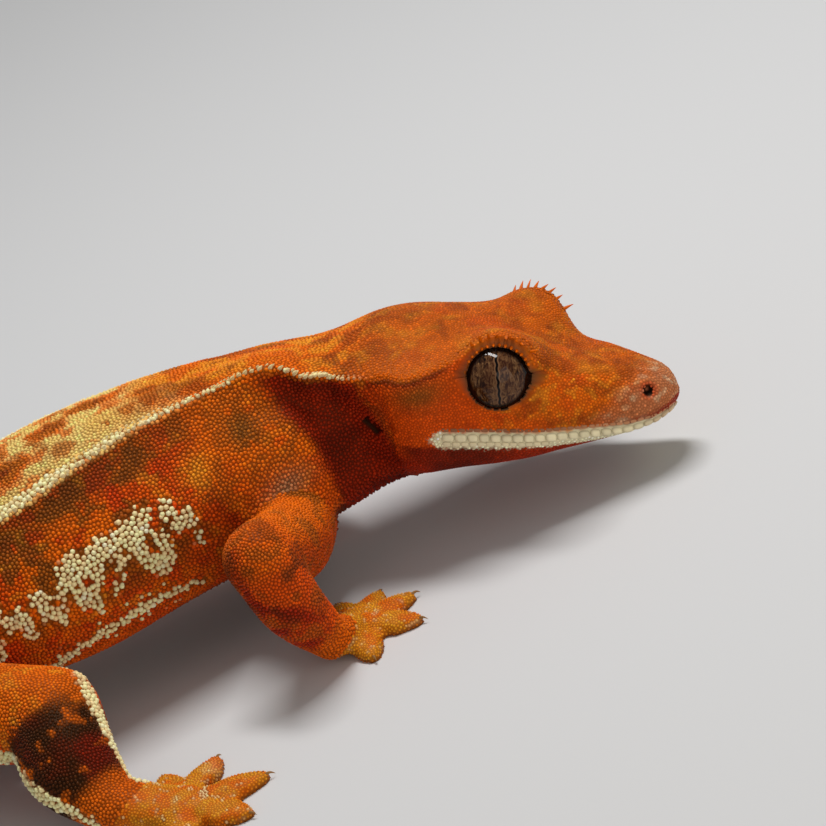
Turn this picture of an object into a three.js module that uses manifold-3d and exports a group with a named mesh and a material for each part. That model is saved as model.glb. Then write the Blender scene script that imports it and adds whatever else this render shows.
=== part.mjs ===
// A crested gecko, life size, standing on four feet with its head turned to its right.
// Millimetres, +Z up and the floor at z = 0. The snout points towards +X, the animal's right side towards -Y.

import * as THREE from "three";
import { mergeVertices } from "three/addons/utils/BufferGeometryUtils.js";
import Module from "manifold-3d";

const wasm = await Module();
wasm.setup();

// Driving dimensions
const GAP = 0.3; // left between neighbouring pieces
const HEAD_MID = [28.9, -5.1, 11.5]; // on the head's long axis, midway between the eyes
const HEAD_TURN = { yaw: -28.3, pitch: 17.7, roll: -11.9 }; // degrees: right, nose down, left side down
const SNOUT = 16.4; // from the middle of the eyes forward to the snout's tip
const EYE = { x: -0.35, y: 6.35, z: 3.2, r: 3.5, aperture: 3.05, depth: 1.7, lid: 0.5 };
const EYE_AXIS = [0.27, 0.93, 0.22];

// Colours of the solids
const SKIN = { color: 0xb45a14, roughness: 0.62 };
const DARK_SKIN = { color: 0x8a3510, roughness: 0.65 };
const BRIGHT_SKIN = { color: 0xc8741c, roughness: 0.6 };
const LIP = { color: 0xb98f66, roughness: 0.55 };
const IRIS = { color: 0x4a2c16, roughness: 0.12 };

const vec = (a) => new THREE.Vector3(...a);
const radians = THREE.MathUtils.degToRad;
const lerp = THREE.MathUtils.lerp;

// The head's frame: +X to the snout, +Y to the animal's left, +Z to the crown.
const headFrame = new THREE.Matrix4()
  .makeRotationFromEuler(
    new THREE.Euler(radians(HEAD_TURN.roll), radians(HEAD_TURN.pitch), radians(HEAD_TURN.yaw), "ZYX"),
  )
  .setPosition(vec(HEAD_MID));
const headUp = vec([0, 0, 1]).transformDirection(headFrame);
const inHead = (x, y, z) => vec([x, y, z]).applyMatrix4(headFrame);

// Sections of the head, by distance in front of the eyes. Each gives half an outline as seen from the
// front, from the head's long axis: the crown's height, the crest (brow or temple), the cheek, the edge of
// the jaw and the throat's height.
const HEAD_SECTIONS = [
  { x: 15.9, top: 1.1, crest: [1.3, 0.8], side: [1.8, -0.2], keel: [1.3, -1.2], bottom: -1.7 },
  { x: 14.6, top: 2.2, crest: [2.4, 1.7], side: [3.2, -0.3], keel: [2.5, -2.2], bottom: -3.0 },
  { x: 12.2, top: 3.0, crest: [3.1, 2.4], side: [4.2, -0.5], keel: [3.4, -3.1], bottom: -4.0 },
  { x: 9.0, top: 3.7, crest: [4.1, 3.1], side: [5.4, -0.7], keel: [4.5, -3.8], bottom: -4.8 },
  { x: 5.2, top: 4.4, crest: [5.3, 3.9], side: [6.9, -0.8], keel: [5.9, -4.5], bottom: -5.6 },
  { x: 2.2, top: 5.6, crest: [7.2, 7.2], side: [8.0, -0.6], keel: [6.9, -5.1], bottom: -6.2 },
  { x: -1.0, top: 6.6, crest: [7.6, 7.7], side: [8.7, -0.5], keel: [7.6, -5.5], bottom: -6.8 },
  { x: -4.4, top: 7.4, crest: [8.9, 5.6], side: [9.6, -0.6], keel: [8.3, -5.8], bottom: -7.2 },
  { x: -8.2, top: 7.9, crest: [10.3, 4.3], side: [10.3, -0.9], keel: [8.7, -6.4], bottom: -8.1 },
  { x: -12.0, top: 7.6, crest: [9.9, 4.2], side: [9.3, -1.3], keel: [7.4, -7.2], bottom: -9.3 },
];

// Sections of the neck, trunk and tail: the place of the middle, the roll in degrees, then half an outline
// as for the head, from the top over the crest, the side and the keel to the bottom.
const section = (at, roll, top, crest, side, keel, bottom) => ({ at, roll, top, crest, side, keel, bottom });
const TRUNK_SECTIONS = [
  section([13.4, 1.6, 15], -11, 7.3, [8.4, 5.5], [7.4, -0.8], [5.8, -6.2], -9),
  section([10, 1.9, 15.1], -12, 8.1, [8.6, 6.2], [8.2, -0.8], [6.4, -6.8], -9.4),
  section([6.4, 2, 15.3], -17, 9, [7.5, 7.7], [9.3, -0.6], [7.3, -7.4], -9.8),
  section([1, 2.1, 15.2], -11, 9.8, [6.8, 8.8], [11, 0.3], [8.4, -7.8], -10.2),
  section([-9, 2.3, 15.9], -4, 10.7, [6.9, 9.3], [12.6, 0.5], [9.4, -8.2], -10.4),
  section([-20, 2, 16.3], 0, 11, [8.2, 8.7], [13.4, 0.3], [10, -8.6], -10.6),
  section([-31, 1.2, 15.6], 0, 10.1, [7.4, 7.8], [11.8, 0.2], [8.6, -7.5], -9.5),
  section([-41, 0.2, 13.2], 0, 7.6, [5.2, 6.2], [8.4, 0.2], [6.4, -5.6], -6.9),
  section([-49, -0.6, 10], 0, 5.2, [3.5, 4.3], [5.8, 0], [4.5, -3.9], -4.7),
  section([-57, -1.3, 6.6], 0, 3.7, [2.5, 3.1], [4, 0], [3.1, -2.7], -3.3),
  section([-66, -1.6, 3.9], 0, 3.2, [2.1, 2.6], [3.4, 0], [2.7, -2.3], -2.9),
  section([-78, -0.6, 2.8], 0, 2.8, [1.9, 2.2], [3, 0], [2.4, -2.1], -2.6),
  section([-92, 3, 2.3], 0, 2.3, [1.6, 1.8], [2.5, 0], [2, -1.7], -2.1),
  section([-105, 9.5, 1.9], 0, 1.8, [1.3, 1.4], [2, 0], [1.6, -1.4], -1.7),
  section([-114, 17, 1.6], 0, 1.5, [1.2, 1.1], [1.8, 0], [1.5, -1.2], -1.4),
  section([-119, 24, 1.4], 0, 1.2, [1.6, 0.7], [2.4, -0.3], [2, -1.1], -1.2),
  section([-121, 30, 1.3], 0, 0.9, [1.5, 0.5], [2.3, -0.4], [1.9, -1], -1.1),
];
const SECTION_POINTS = 8; // round a section: crown, crest, cheek, keel, throat, keel, cheek, crest
const CREST_RIGHT = 1;
const CREST_LEFT = 7;

// Every section as one row of numbers, in order from the snout to the tail's tip.
const outline = (s) => [s.top, ...s.crest, ...s.side, ...s.keel, s.bottom];
const rows = [
  ...HEAD_SECTIONS.map((s) => [...inHead(s.x, 0, 0), ...headUp, ...outline(s)]),
  ...TRUNK_SECTIONS.map((s) => {
    const roll = radians(s.roll);
    return [...s.at, 0, -Math.sin(roll), Math.cos(roll), ...outline(s)];
  }),
];
const stations = [0];
for (let i = 1; i < rows.length; i++) {
  const [a, b] = [vec(rows[i - 1].slice(0, 3)), vec(rows[i].slice(0, 3))];
  stations.push(stations[i - 1] + a.distanceTo(b));
}
const TAIL_END = stations.at(-1);
const fromSnout = (x) => HEAD_SECTIONS[0].x - x; // a distance in front of the eyes as one along the spine
const sectionStart = (n) => stations[HEAD_SECTIONS.length + n];

// A smooth curve through the rows at a distance s along the spine.
function rowAt(s) {
  let i = 0;
  while (i < stations.length - 2 && s > stations[i + 1]) i++;
  const span = stations[i + 1] - stations[i];
  const t = (s - stations[i]) / span;
  const slope = (k, c) => {
    const [a, b] = [Math.max(0, k - 1), Math.min(rows.length - 1, k + 1)];
    return (rows[b][c] - rows[a][c]) / (stations[b] - stations[a]);
  };
  return rows[i].map((v, c) => {
    const [w, m0, m1] = [rows[i + 1][c], slope(i, c) * span, slope(i + 1, c) * span];
    return (
      v * (1 + 2 * t) * (1 - t) ** 2 + m0 * t * (1 - t) ** 2 + w * t * t * (3 - 2 * t) + m1 * t * t * (t - 1)
    );
  });
}

// The frame and the closed outline at a distance s along the spine.
function sectionAt(s, swell = 0) {
  const row = rowAt(s);
  const step = 0.05;
  const [ahead, behind] = [rowAt(Math.max(0, s - step)), rowAt(Math.min(TAIL_END, s + step))];
  const forward = vec(ahead.slice(0, 3)).sub(vec(behind.slice(0, 3))).normalize();
  const left = vec(row.slice(3, 6)).cross(forward).normalize();
  const up = forward.clone().cross(left);
  const [top, crestY, crestZ, sideY, sideZ, keelY, keelZ, bottom] = row.slice(6);
  const half = [[crestY, crestZ], [sideY, sideZ], [keelY, keelZ]];
  const corners = [
    [0, top],
    ...half.map(([y, z]) => [-y, z]),
    [0, bottom],
    ...half.toReversed(),
  ].map(([y, z]) => {
    const grown = 1 + swell / Math.hypot(y, z);
    return new THREE.Vector3(y * grown, z * grown, 0);
  });
  const curve = new THREE.CatmullRomCurve3(corners, true, "catmullrom", 0.5);
  return { origin: vec(row.slice(0, 3)), forward, left, up, curve };
}

// A point of the skin: s along the spine, v from 0 to 8 round the section.
function skinPoint(s, v) {
  const { origin, left, up, curve } = sectionAt(s);
  const p = curve.getPoint((v / SECTION_POINTS) % 1);
  return origin.addScaledVector(left, p.x).addScaledVector(up, p.y);
}

// A closed mesh through rings of equal length, with a fan at each end to a given point or to the ring's middle.
function loft(rings, startPoint, endPoint) {
  const n = rings[0].length;
  const middle = (ring) => ring.reduce((sum, p) => sum.add(p), new THREE.Vector3()).divideScalar(n);
  const points = [...rings.flat(), startPoint ?? middle(rings[0]), endPoint ?? middle(rings.at(-1))];
  const first = rings.length * n;
  const last = first + 1;
  const end = first - n;
  const faces = [];
  for (let i = 0; i < n; i++) {
    const j = (i + 1) % n;
    faces.push(first, j, i, last, end + i, end + j);
    for (let a = 0; a < end; a += n) {
      faces.push(a + i, a + j, a + n + i, a + j, a + n + j, a + n + i);
    }
  }
  return solid(points, faces);
}

// A manifold-3d solid from points and faces, turned to face outwards.
function solid(points, faces) {
  const mesh = { numProp: 3, vertProperties: new Float32Array(points.flatMap((p) => [...p])) };
  const made = new wasm.Manifold(new wasm.Mesh({ ...mesh, triVerts: new Uint32Array(faces) }));
  if (made.volume() > 0) return made;
  const turned = faces.map((_, i) => faces[i - (i % 3) + [0, 2, 1][i % 3]]);
  return new wasm.Manifold(new wasm.Mesh({ ...mesh, triVerts: new Uint32Array(turned) }));
}

// A solid from a three.js geometry that is already in place.
function fromGeometry(geometry) {
  geometry.deleteAttribute("normal");
  geometry.deleteAttribute("uv");
  const merged = mergeVertices(geometry, 1e-4);
  const position = merged.attributes.position;
  const points = [];
  for (let i = 0; i < position.count; i++) points.push(new THREE.Vector3().fromBufferAttribute(position, i));
  return solid(points, [...merged.index.array]);
}

const union = (pieces) => pieces.reduce((whole, piece) => whole.add(piece));
const largest = (whole) => whole.decompose().sort((a, b) => b.volume() - a.volume())[0];

// The trunk between two distances along the spine.
function trunkLength(from, to, { step = 2.2, sides = 28, swell = 0, startPoint, endPoint } = {}) {
  const count = Math.max(2, Math.round((to - from) / step));
  const rings = [];
  for (let k = 0; k <= count; k++) {
    const section = sectionAt(lerp(from, to, k / count), swell);
    const ring = [];
    for (let i = 0; i < sides; i++) {
      const p = section.curve.getPoint(i / sides);
      ring.push(section.origin.clone().addScaledVector(section.left, p.x).addScaledVector(section.up, p.y));
    }
    rings.push(ring);
  }
  return loft(rings, startPoint, endPoint);
}

// A pointed spine of a few sides with its root sunk in the skin.
function spine(root, direction, length, width, sides = 5) {
  const sunk = 0.45;
  const axis = direction.clone().normalize();
  const across = new THREE.Vector3(0, 0, 1).cross(axis).normalize();
  const other = axis.clone().cross(across);
  const ring = [];
  for (let i = 0; i < sides; i++) {
    const turn = (2 * Math.PI * i) / sides;
    ring.push(
      root
        .clone()
        .addScaledVector(axis, -sunk)
        .addScaledVector(across, (Math.cos(turn) * width) / 2)
        .addScaledVector(other, (Math.sin(turn) * width) / 2),
    );
  }
  return loft([ring], undefined, root.clone().addScaledVector(axis, length));
}

// A row of crest spines on both sides, spaced along the spine of the body.
function crestSpines(from, to, spacing, sizeAt) {
  const spines = [];
  for (const v of [CREST_RIGHT, CREST_LEFT]) {
    const count = Math.round((to - from) / spacing);
    for (let k = 0; k <= count; k++) {
      const s = lerp(from, to, k / count);
      const size = sizeAt(k / count) * (k % 2 ? 0.85 : 1);
      const { left, up } = sectionAt(s);
      const outward = left.multiplyScalar(v === CREST_LEFT ? 0.75 : -0.75).add(up.multiplyScalar(0.65));
      spines.push(spine(skinPoint(s, v), outward, size, 0.5 + 0.55 * size));
    }
  }
  return spines;
}

// Eyes
const eyeCentre = (side) => inHead(EYE.x, side * EYE.y, EYE.z);
const eyeAxis = (side) =>
  vec([EYE_AXIS[0], side * EYE_AXIS[1], EYE_AXIS[2]]).normalize().transformDirection(headFrame);

function ball(centre, radius, across, down) {
  return fromGeometry(new THREE.SphereGeometry(radius, across, down).translate(...centre));
}

// The raised rim round an eye.
function eyeRim(side) {
  const axis = eyeAxis(side);
  const ring = new THREE.TorusGeometry(EYE.aperture + EYE.lid, EYE.lid, 5, 20)
    .applyQuaternion(new THREE.Quaternion().setFromUnitVectors(vec([0, 0, 1]), axis))
    .translate(...eyeCentre(side).addScaledVector(axis, EYE.depth));
  return fromGeometry(ring);
}

// The lashes: pointed scales on the upper lid, from the front of the eye to over its back.
function lashes(side) {
  const count = 9;
  const axis = eyeAxis(side);
  const ahead = vec([1, 0, 0]).transformDirection(headFrame).projectOnPlane(axis).normalize();
  const above = axis.clone().cross(ahead).multiplyScalar(-side);
  const spines = [];
  for (let k = 0; k < count; k++) {
    const turn = radians(lerp(18, 128, k / (count - 1)));
    const outward = ahead.clone().multiplyScalar(Math.cos(turn)).addScaledVector(above, Math.sin(turn));
    const root = eyeCentre(side)
      .addScaledVector(axis, EYE.depth + EYE.lid * 0.5)
      .addScaledVector(outward, EYE.aperture + EYE.lid * 1.3);
    spines.push(spine(root, outward.addScaledVector(axis, 0.8), lerp(1.25, 0.85, Math.abs(k - 4) / 4), 0.7));
  }
  return spines;
}

// The mouth: a thin slot along the lips that turns down behind the mouth's corner, to part the jaw from the
// head. Points are the distance in front of the eyes and the height from the head's axis.
const MOUTH_LINE = [
  [20, -1.0],
  [16.6, -1.3],
  [15.2, -1.9],
  [11.7, -2.5],
  [4.2, -2.35],
  [-5.8, -1.7],
  [-8.2, -3.4],
  [-9.4, -14],
];
const SLOT_REACH = 15;

function mouthSlot() {
  const rings = MOUTH_LINE.map(([x, z], i) => {
    const before = MOUTH_LINE[Math.max(0, i - 1)];
    const after = MOUTH_LINE[Math.min(MOUTH_LINE.length - 1, i + 1)];
    const across = new THREE.Vector2(before[1] - after[1], after[0] - before[0]).setLength(GAP / 2);
    const [upper, lower] = [1, -1].map((k) => [x + k * across.x, z + k * across.y]);
    return [
      inHead(upper[0], -SLOT_REACH, upper[1]),
      inHead(upper[0], SLOT_REACH, upper[1]),
      inHead(lower[0], SLOT_REACH, lower[1]),
      inHead(lower[0], -SLOT_REACH, lower[1]),
    ];
  });
  return loft(rings);
}

// The mouth's height at a distance in front of the eyes, from the head's axis.
function mouthHeight(x) {
  const i = MOUTH_LINE.findIndex(([at], k) => k > 0 && at <= x);
  const [[x0, z0], [x1, z1]] = [MOUTH_LINE[i - 1], MOUTH_LINE[i]];
  return lerp(z0, z1, (x - x0) / (x1 - x0));
}

// The point of the head's side at a given height, found by halving between the crest and the keel.
function headSide(x, height, side) {
  let [high, low] = [CREST_RIGHT, CREST_RIGHT + 2];
  const inverse = headFrame.clone().invert();
  const at = (v) => skinPoint(fromSnout(x), side < 0 ? v : SECTION_POINTS - v);
  for (let k = 0; k < 20; k++) {
    const v = (high + low) / 2;
    if (at(v).applyMatrix4(inverse).z > height) high = v;
    else low = v;
  }
  return at(low);
}

// Lip scales: a row of low plates along the mouth's edge, larger towards the front.
function lipScales(offset) {
  const scales = [];
  for (const side of [-1, 1]) {
    for (let x = 13.6; x > -5.2; x -= 1.45) {
      const centre = headSide(x, mouthHeight(x) + offset, side);
      const [before, after] = [x + 0.5, x - 0.5].map((at) => headSide(at, mouthHeight(at) + offset, side));
      const along = before.sub(after).normalize();
      const across = along.clone().cross(headUp).normalize();
      const basis = new THREE.Matrix4().makeBasis(along, across, along.clone().cross(across).negate());
      const plate = new THREE.OctahedronGeometry(1, 0).scale(0.85, 0.45, 0.6).applyMatrix4(basis);
      scales.push(fromGeometry(plate.translate(...centre)));
    }
  }
  return scales;
}

// Nostrils, and the slit of each ear with the fold in front of it.
const pit = (centre, size, matrix) =>
  fromGeometry(new THREE.SphereGeometry(1, 10, 6).scale(...size).applyMatrix4(matrix).translate(...centre));
const NOSTRIL = { x: 14.3, y: 2.9, z: 0.9 };
const EAR = { x: -12.1, height: -1.2, slant: -38 };

function headOpenings() {
  const turn = new THREE.Matrix4().extractRotation(headFrame);
  const pits = [];
  for (const side of [-1, 1]) {
    pits.push(pit(inHead(NOSTRIL.x, side * NOSTRIL.y, NOSTRIL.z), [0.55, 0.9, 0.5], turn));
    const slant = turn.clone().multiply(new THREE.Matrix4().makeRotationY(radians(-EAR.slant)));
    pits.push(pit(headSide(EAR.x, EAR.height, side), [0.5, 1.5, 1.5], slant));
  }
  return pits;
}

// Where the animal is parted, as distances along the spine.
const HEAD_END = fromSnout(-13.6);
const NECK_END = sectionStart(2) - 0.6;
const TORSO_END = sectionStart(8) - 3;
const TAIL_CUTS = [sectionStart(10) + 1, sectionStart(12)];

function makeHead() {
  const tip = inHead(SNOUT, 0, -0.2);
  const whole = trunkLength(0, HEAD_END - GAP / 2, { step: 1.8, sides: 32, startPoint: tip });
  const sides = [-1, 1];
  const crest = crestSpines(fromSnout(-4.6), HEAD_END - 1, 1.25, (t) => lerp(0.55, 0.75, t));
  const grown = [whole, ...sides.map(eyeRim), ...sides.flatMap(lashes), ...crest, ...lipScales(0.75)];
  const sockets = sides.map((side) => ball(eyeCentre(side), EYE.r + GAP, 16, 10));
  const cut = union([...sockets, ...headOpenings(), mouthSlot()]);
  return union([...grown, ...lipScales(-0.75)])
    .subtract(cut)
    .decompose()
    .sort((a, b) => b.volume() - a.volume());
}

// Limbs
const inflatedTrunk = trunkLength(HEAD_END - 2, TAIL_CUTS[0], { swell: GAP });

// A smooth length of limb through three joints, each { at, wide, deep }.
function limbLength(joints, swell = 0) {
  const [count, sides] = [5, 12];
  const curve = new THREE.CatmullRomCurve3(joints.map((j) => vec(j.at)), false, "centripetal");
  const sizeAt = (t, key) => {
    const i = t < 0.5 ? 0 : 1;
    return lerp(joints[i][key], joints[i + 1][key], THREE.MathUtils.smoothstep(t * 2 - i, 0, 1)) + swell;
  };
  const rings = [];
  for (let k = 0; k <= count; k++) {
    const t = k / count;
    const along = curve.getTangent(t);
    const across = new THREE.Vector3(0, 0, 1).cross(along).normalize();
    const up = along.clone().cross(across);
    const ring = [];
    for (let i = 0; i < sides; i++) {
      const turn = (2 * Math.PI * i) / sides;
      ring.push(
        curve
          .getPoint(t)
          .addScaledVector(across, Math.cos(turn) * sizeAt(t, "wide"))
          .addScaledVector(up, Math.sin(turn) * sizeAt(t, "deep")),
      );
    }
    rings.push(ring);
  }
  return loft(rings);
}

// A rounded joint, such as a knee.
const knob = ({ at, wide, deep }, swell = 0) =>
  fromGeometry(new THREE.SphereGeometry((wide + deep) / 2 + swell, 12, 7).translate(...at));

// Each limb from its root to the wrist or ankle, then the middle of the palm, and the heading of each digit in
// degrees from +X with its length from the palm's middle.
const LIMBS = [
  {
    names: ["upper_arm_right", "forearm_right", "hand_right"],
    root: { at: [3.2, -4.0, 9.2], wide: 3.9, deep: 4.3 },
    shoulder: { at: [1.4, -12.0, 10.6], wide: 4.0, deep: 4.3 },
    bend: { at: [-1.6, -20.2, 14.4], wide: 3.6, deep: 3.8 },
    shank: { at: [-0.9, -20.6, 8.6], wide: 3.2, deep: 3.3 },
    end: { at: [0.8, -19.2, 2.8], wide: 2.3, deep: 2.2 },
    palm: [3.4, -15.6],
    digits: [[98, 7.0], [56, 6.4], [12, 6.8], [-34, 7.6], [-86, 7.2]],
    pad: 1.5,
  },
  {
    names: ["upper_arm_left", "forearm_left", "hand_left"],
    root: { at: [5.0, 7.0, 11.0], wide: 4.2, deep: 4.4 },
    shoulder: { at: [4.0, 14.5, 12.0], wide: 4.2, deep: 4.2 },
    bend: { at: [1.5, 22.5, 11.6], wide: 3.5, deep: 3.6 },
    shank: { at: [6.0, 24.3, 7.0], wide: 3.3, deep: 3.3 },
    end: { at: [11.0, 24.6, 2.8], wide: 2.3, deep: 2.1 },
    palm: [14.6, 24.2],
    digits: [[-78, 6.4], [-36, 7.2], [0, 7.6], [38, 7.4], [86, 6.6]],
    pad: 1.5,
  },
  {
    names: ["thigh_right", "shin_right", "foot_right"],
    root: { at: [-42.5, -3.0, 13.0], wide: 5.2, deep: 5.2 },
    shoulder: { at: [-37.0, -11.5, 11.5], wide: 5.3, deep: 5.3 },
    bend: { at: [-26.4, -19.8, 9.3], wide: 4.8, deep: 4.8 },
    shank: { at: [-26.6, -25.5, 6.3], wide: 4.7, deep: 4.3 },
    end: { at: [-24.8, -30.0, 3.0], wide: 3.1, deep: 2.5 },
    palm: [-19.0, -33.2],
    digits: [[94, 8.2], [52, 8.4], [-8, 9.4], [-46, 9.4], [-96, 8.2]],
    pad: 1.75,
  },
  {
    names: ["thigh_left", "shin_left", "foot_left"],
    root: { at: [-42.5, 3.5, 13.0], wide: 5.2, deep: 5.2 },
    shoulder: { at: [-37.5, 13.0, 12.0], wide: 5.3, deep: 5.2 },
    bend: { at: [-32.0, 22.6, 9.4], wide: 4.3, deep: 4.3 },
    shank: { at: [-37.0, 27.6, 6.4], wide: 3.9, deep: 3.8 },
    end: { at: [-43.0, 31.6, 3.0], wide: 2.6, deep: 2.4 },
    palm: [-46.0, 36.4],
    digits: [[10, 7.6], [58, 8.4], [98, 9.0], [138, 9.0], [192, 8.0]],
    pad: 1.75,
  },
];

// A digit lies flat on the floor: a shaft, then a broad leaf of a pad whose narrow end carries the claw.
const DIGIT_PROFILE = [
  { along: 0, wide: 0.85, high: 2 },
  { along: 0.34, wide: 0.72, high: 1.8 },
  { along: 0.52, wide: 1.0, high: 1.6 },
  { along: 0.66, wide: 1.12, high: 1.45 },
  { along: 0.84, wide: 0.8, high: 1.25 },
  { along: 1, wide: 0.32, high: 0.95 },
];
const CLAW = { length: 1, width: 0.6, height: 0.7 };

function digit(palm, heading, length, pad) {
  const forward = vec([Math.cos(radians(heading)), Math.sin(radians(heading)), 0]);
  const across = vec([-forward.y, forward.x, 0]);
  const arch = 4;
  const rings = DIGIT_PROFILE.map(({ along, wide, high }) => {
    const centre = vec([palm[0], palm[1], 0]).addScaledVector(forward, along * length);
    return Array.from({ length: arch + 1 }, (_, i) => {
      const turn = (Math.PI * i) / arch;
      const edge = i === 0 || i === arch ? 0 : 0.35;
      const height = (Math.sin(turn) ** 1.6 * 0.65 + edge) * high;
      return centre.clone().addScaledVector(across, Math.cos(turn) * wide * pad).setZ(height);
    });
  });
  const end = vec([palm[0], palm[1], 0.4]).addScaledVector(forward, length + 0.1);
  const root = end.clone().addScaledVector(forward, -0.2).setZ(CLAW.height);
  const claw = spine(root, forward.clone().setZ(-0.3), CLAW.length, CLAW.width, 4);
  return union([loft(rings, undefined, end), claw]);
}

function makePaw(limb, shankSolid) {
  const [px, py] = limb.palm;
  const wrist = vec(limb.end.at);
  const palm = fromGeometry(
    new THREE.SphereGeometry(1, 10, 6).scale(limb.pad * 2.1, limb.pad * 2.1, 2.5).translate(px, py, 0.4),
  );
  const knuckles = vec([px, py, 1.2]);
  const along = knuckles.clone().sub(wrist).normalize();
  const across = new THREE.Vector3(0, 0, 1).cross(along).normalize();
  const up = along.clone().cross(across);
  const sides = 10;
  const rings = [0, 0.35, 0.7, 1].map((t) =>
    Array.from({ length: sides }, (_, i) => {
      const turn = (2 * Math.PI * i) / sides;
      return wrist
        .clone()
        .lerp(knuckles, t)
        .addScaledVector(across, Math.cos(turn) * lerp(limb.end.wide, limb.pad * 1.5, t))
        .addScaledVector(up, Math.sin(turn) * lerp(limb.end.deep, 1.2, t));
    }),
  );
  const digits = limb.digits.map(([heading, length]) => digit(limb.palm, heading, length, limb.pad));
  const floor = fromGeometry(new THREE.BoxGeometry(60, 60, 20).translate(px, py, -10));
  return largest(union([palm, loft(rings), ...digits]).subtract(floor).subtract(shankSolid));
}

function makeLimb(limb) {
  const [above, below] = [[limb.root, limb.shoulder, limb.bend], [limb.bend, limb.shank, limb.end]];
  const upper = (swell) => union([limbLength(above, swell), knob(limb.bend, swell)]);
  const lower = (swell) => union([limbLength(below, swell), knob(limb.end, swell)]);
  return [
    largest(upper(0).subtract(inflatedTrunk)),
    largest(lower(0).subtract(union([inflatedTrunk, upper(GAP)]))),
    makePaw(limb, lower(GAP)),
  ];
}

// Assembly
const group = new THREE.Group();

function addMesh(name, piece, look) {
  const { numProp, vertProperties, triVerts } = piece.getMesh();
  const geometry = new THREE.BufferGeometry();
  geometry.setAttribute("position", new THREE.BufferAttribute(new Float32Array(vertProperties), numProp));
  geometry.setIndex(new THREE.BufferAttribute(new Uint32Array(triVerts), 1));
  geometry.computeVertexNormals();
  const mesh = new THREE.Mesh(geometry, new THREE.MeshStandardMaterial({ ...look, metalness: 0 }));
  mesh.name = name;
  group.add(mesh);
}

const [head, jaw] = makeHead();
addMesh("head", head, SKIN);
addMesh("jaw", jaw, LIP);
addMesh("eye_right", ball(eyeCentre(-1), EYE.r, 20, 12), IRIS);
addMesh("eye_left", ball(eyeCentre(1), EYE.r, 20, 12), IRIS);

const neckSpines = crestSpines(HEAD_END + 1, NECK_END - 1, 1.3, () => 0.85);
const neck = trunkLength(HEAD_END + GAP / 2, NECK_END - GAP / 2);
addMesh("neck", largest(union([neck, ...neckSpines])), DARK_SKIN);
const backSpines = crestSpines(NECK_END + 1, TORSO_END - 4, 1.55, (t) => lerp(1.0, 0.6, t));
const torso = trunkLength(NECK_END + GAP / 2, TORSO_END - GAP / 2, { step: 2.8 });
addMesh("torso", largest(union([torso, ...backSpines])), SKIN);

const tailCuts = [TORSO_END, ...TAIL_CUTS, TAIL_END];
["tail_base", "tail_middle", "tail_end"].forEach((name, i) => {
  const last = i === 2;
  const end = tailCuts[i + 1] - (last ? 0 : GAP / 2);
  const { origin, forward } = sectionAt(TAIL_END);
  const endPoint = last ? origin.addScaledVector(forward, -2.2).setZ(0.7) : undefined;
  addMesh(name, trunkLength(tailCuts[i] + GAP / 2, end, { step: 2.6, sides: 16, endPoint }), SKIN);
});

for (const limb of LIMBS) {
  const looks = [BRIGHT_SKIN, DARK_SKIN, BRIGHT_SKIN];
  makeLimb(limb).forEach((piece, i) => addMesh(limb.names[i], piece, looks[i]));
}

// The origin is the middle of the part's box, on the floor.
const middle = new THREE.Box3().setFromObject(group).getCenter(new THREE.Vector3());
group.position.set(-middle.x, -middle.y, 0);

export default group;
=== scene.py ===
"""A life-size crested gecko for a museum: one skin with scales, crests, lids, lips, claws and glossy eyes.

Shapes are worked out in millimetres in the pose's own frame: snout towards +X, the animal's right side to -Y,
floor at z = 0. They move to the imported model's frame, in metres, when a mesh is made.
"""

import math

import bmesh
import bpy
import numpy as np
from mathutils import Matrix, Vector
from mathutils.bvhtree import BVHTree
from mathutils.kdtree import KDTree


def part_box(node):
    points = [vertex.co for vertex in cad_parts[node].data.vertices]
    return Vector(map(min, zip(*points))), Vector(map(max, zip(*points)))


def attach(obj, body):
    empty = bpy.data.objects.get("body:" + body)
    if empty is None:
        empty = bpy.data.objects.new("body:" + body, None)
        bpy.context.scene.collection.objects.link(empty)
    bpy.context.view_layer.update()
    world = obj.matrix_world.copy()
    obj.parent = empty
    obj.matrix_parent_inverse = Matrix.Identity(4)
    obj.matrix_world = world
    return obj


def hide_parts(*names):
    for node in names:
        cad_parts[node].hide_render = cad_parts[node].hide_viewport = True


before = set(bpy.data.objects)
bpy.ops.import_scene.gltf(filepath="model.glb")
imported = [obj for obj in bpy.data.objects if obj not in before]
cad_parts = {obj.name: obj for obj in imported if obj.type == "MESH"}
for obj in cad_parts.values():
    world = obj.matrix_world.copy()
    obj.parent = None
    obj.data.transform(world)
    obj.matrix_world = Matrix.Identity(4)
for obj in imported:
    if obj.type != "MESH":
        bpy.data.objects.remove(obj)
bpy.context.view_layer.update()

MM = 0.001
rng = np.random.default_rng(11)

# Shape of the animal, as in the solids
HEAD_MID = np.array([28.9, -5.1, 11.5])
YAW, PITCH, ROLL = (math.radians(a) for a in (-28.3, 17.7, -11.9))
EYE = {"x": -0.35, "y": 6.35, "z": 3.2, "r": 3.5}
EYE_AXIS = (0.27, 0.93, 0.22)

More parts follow.
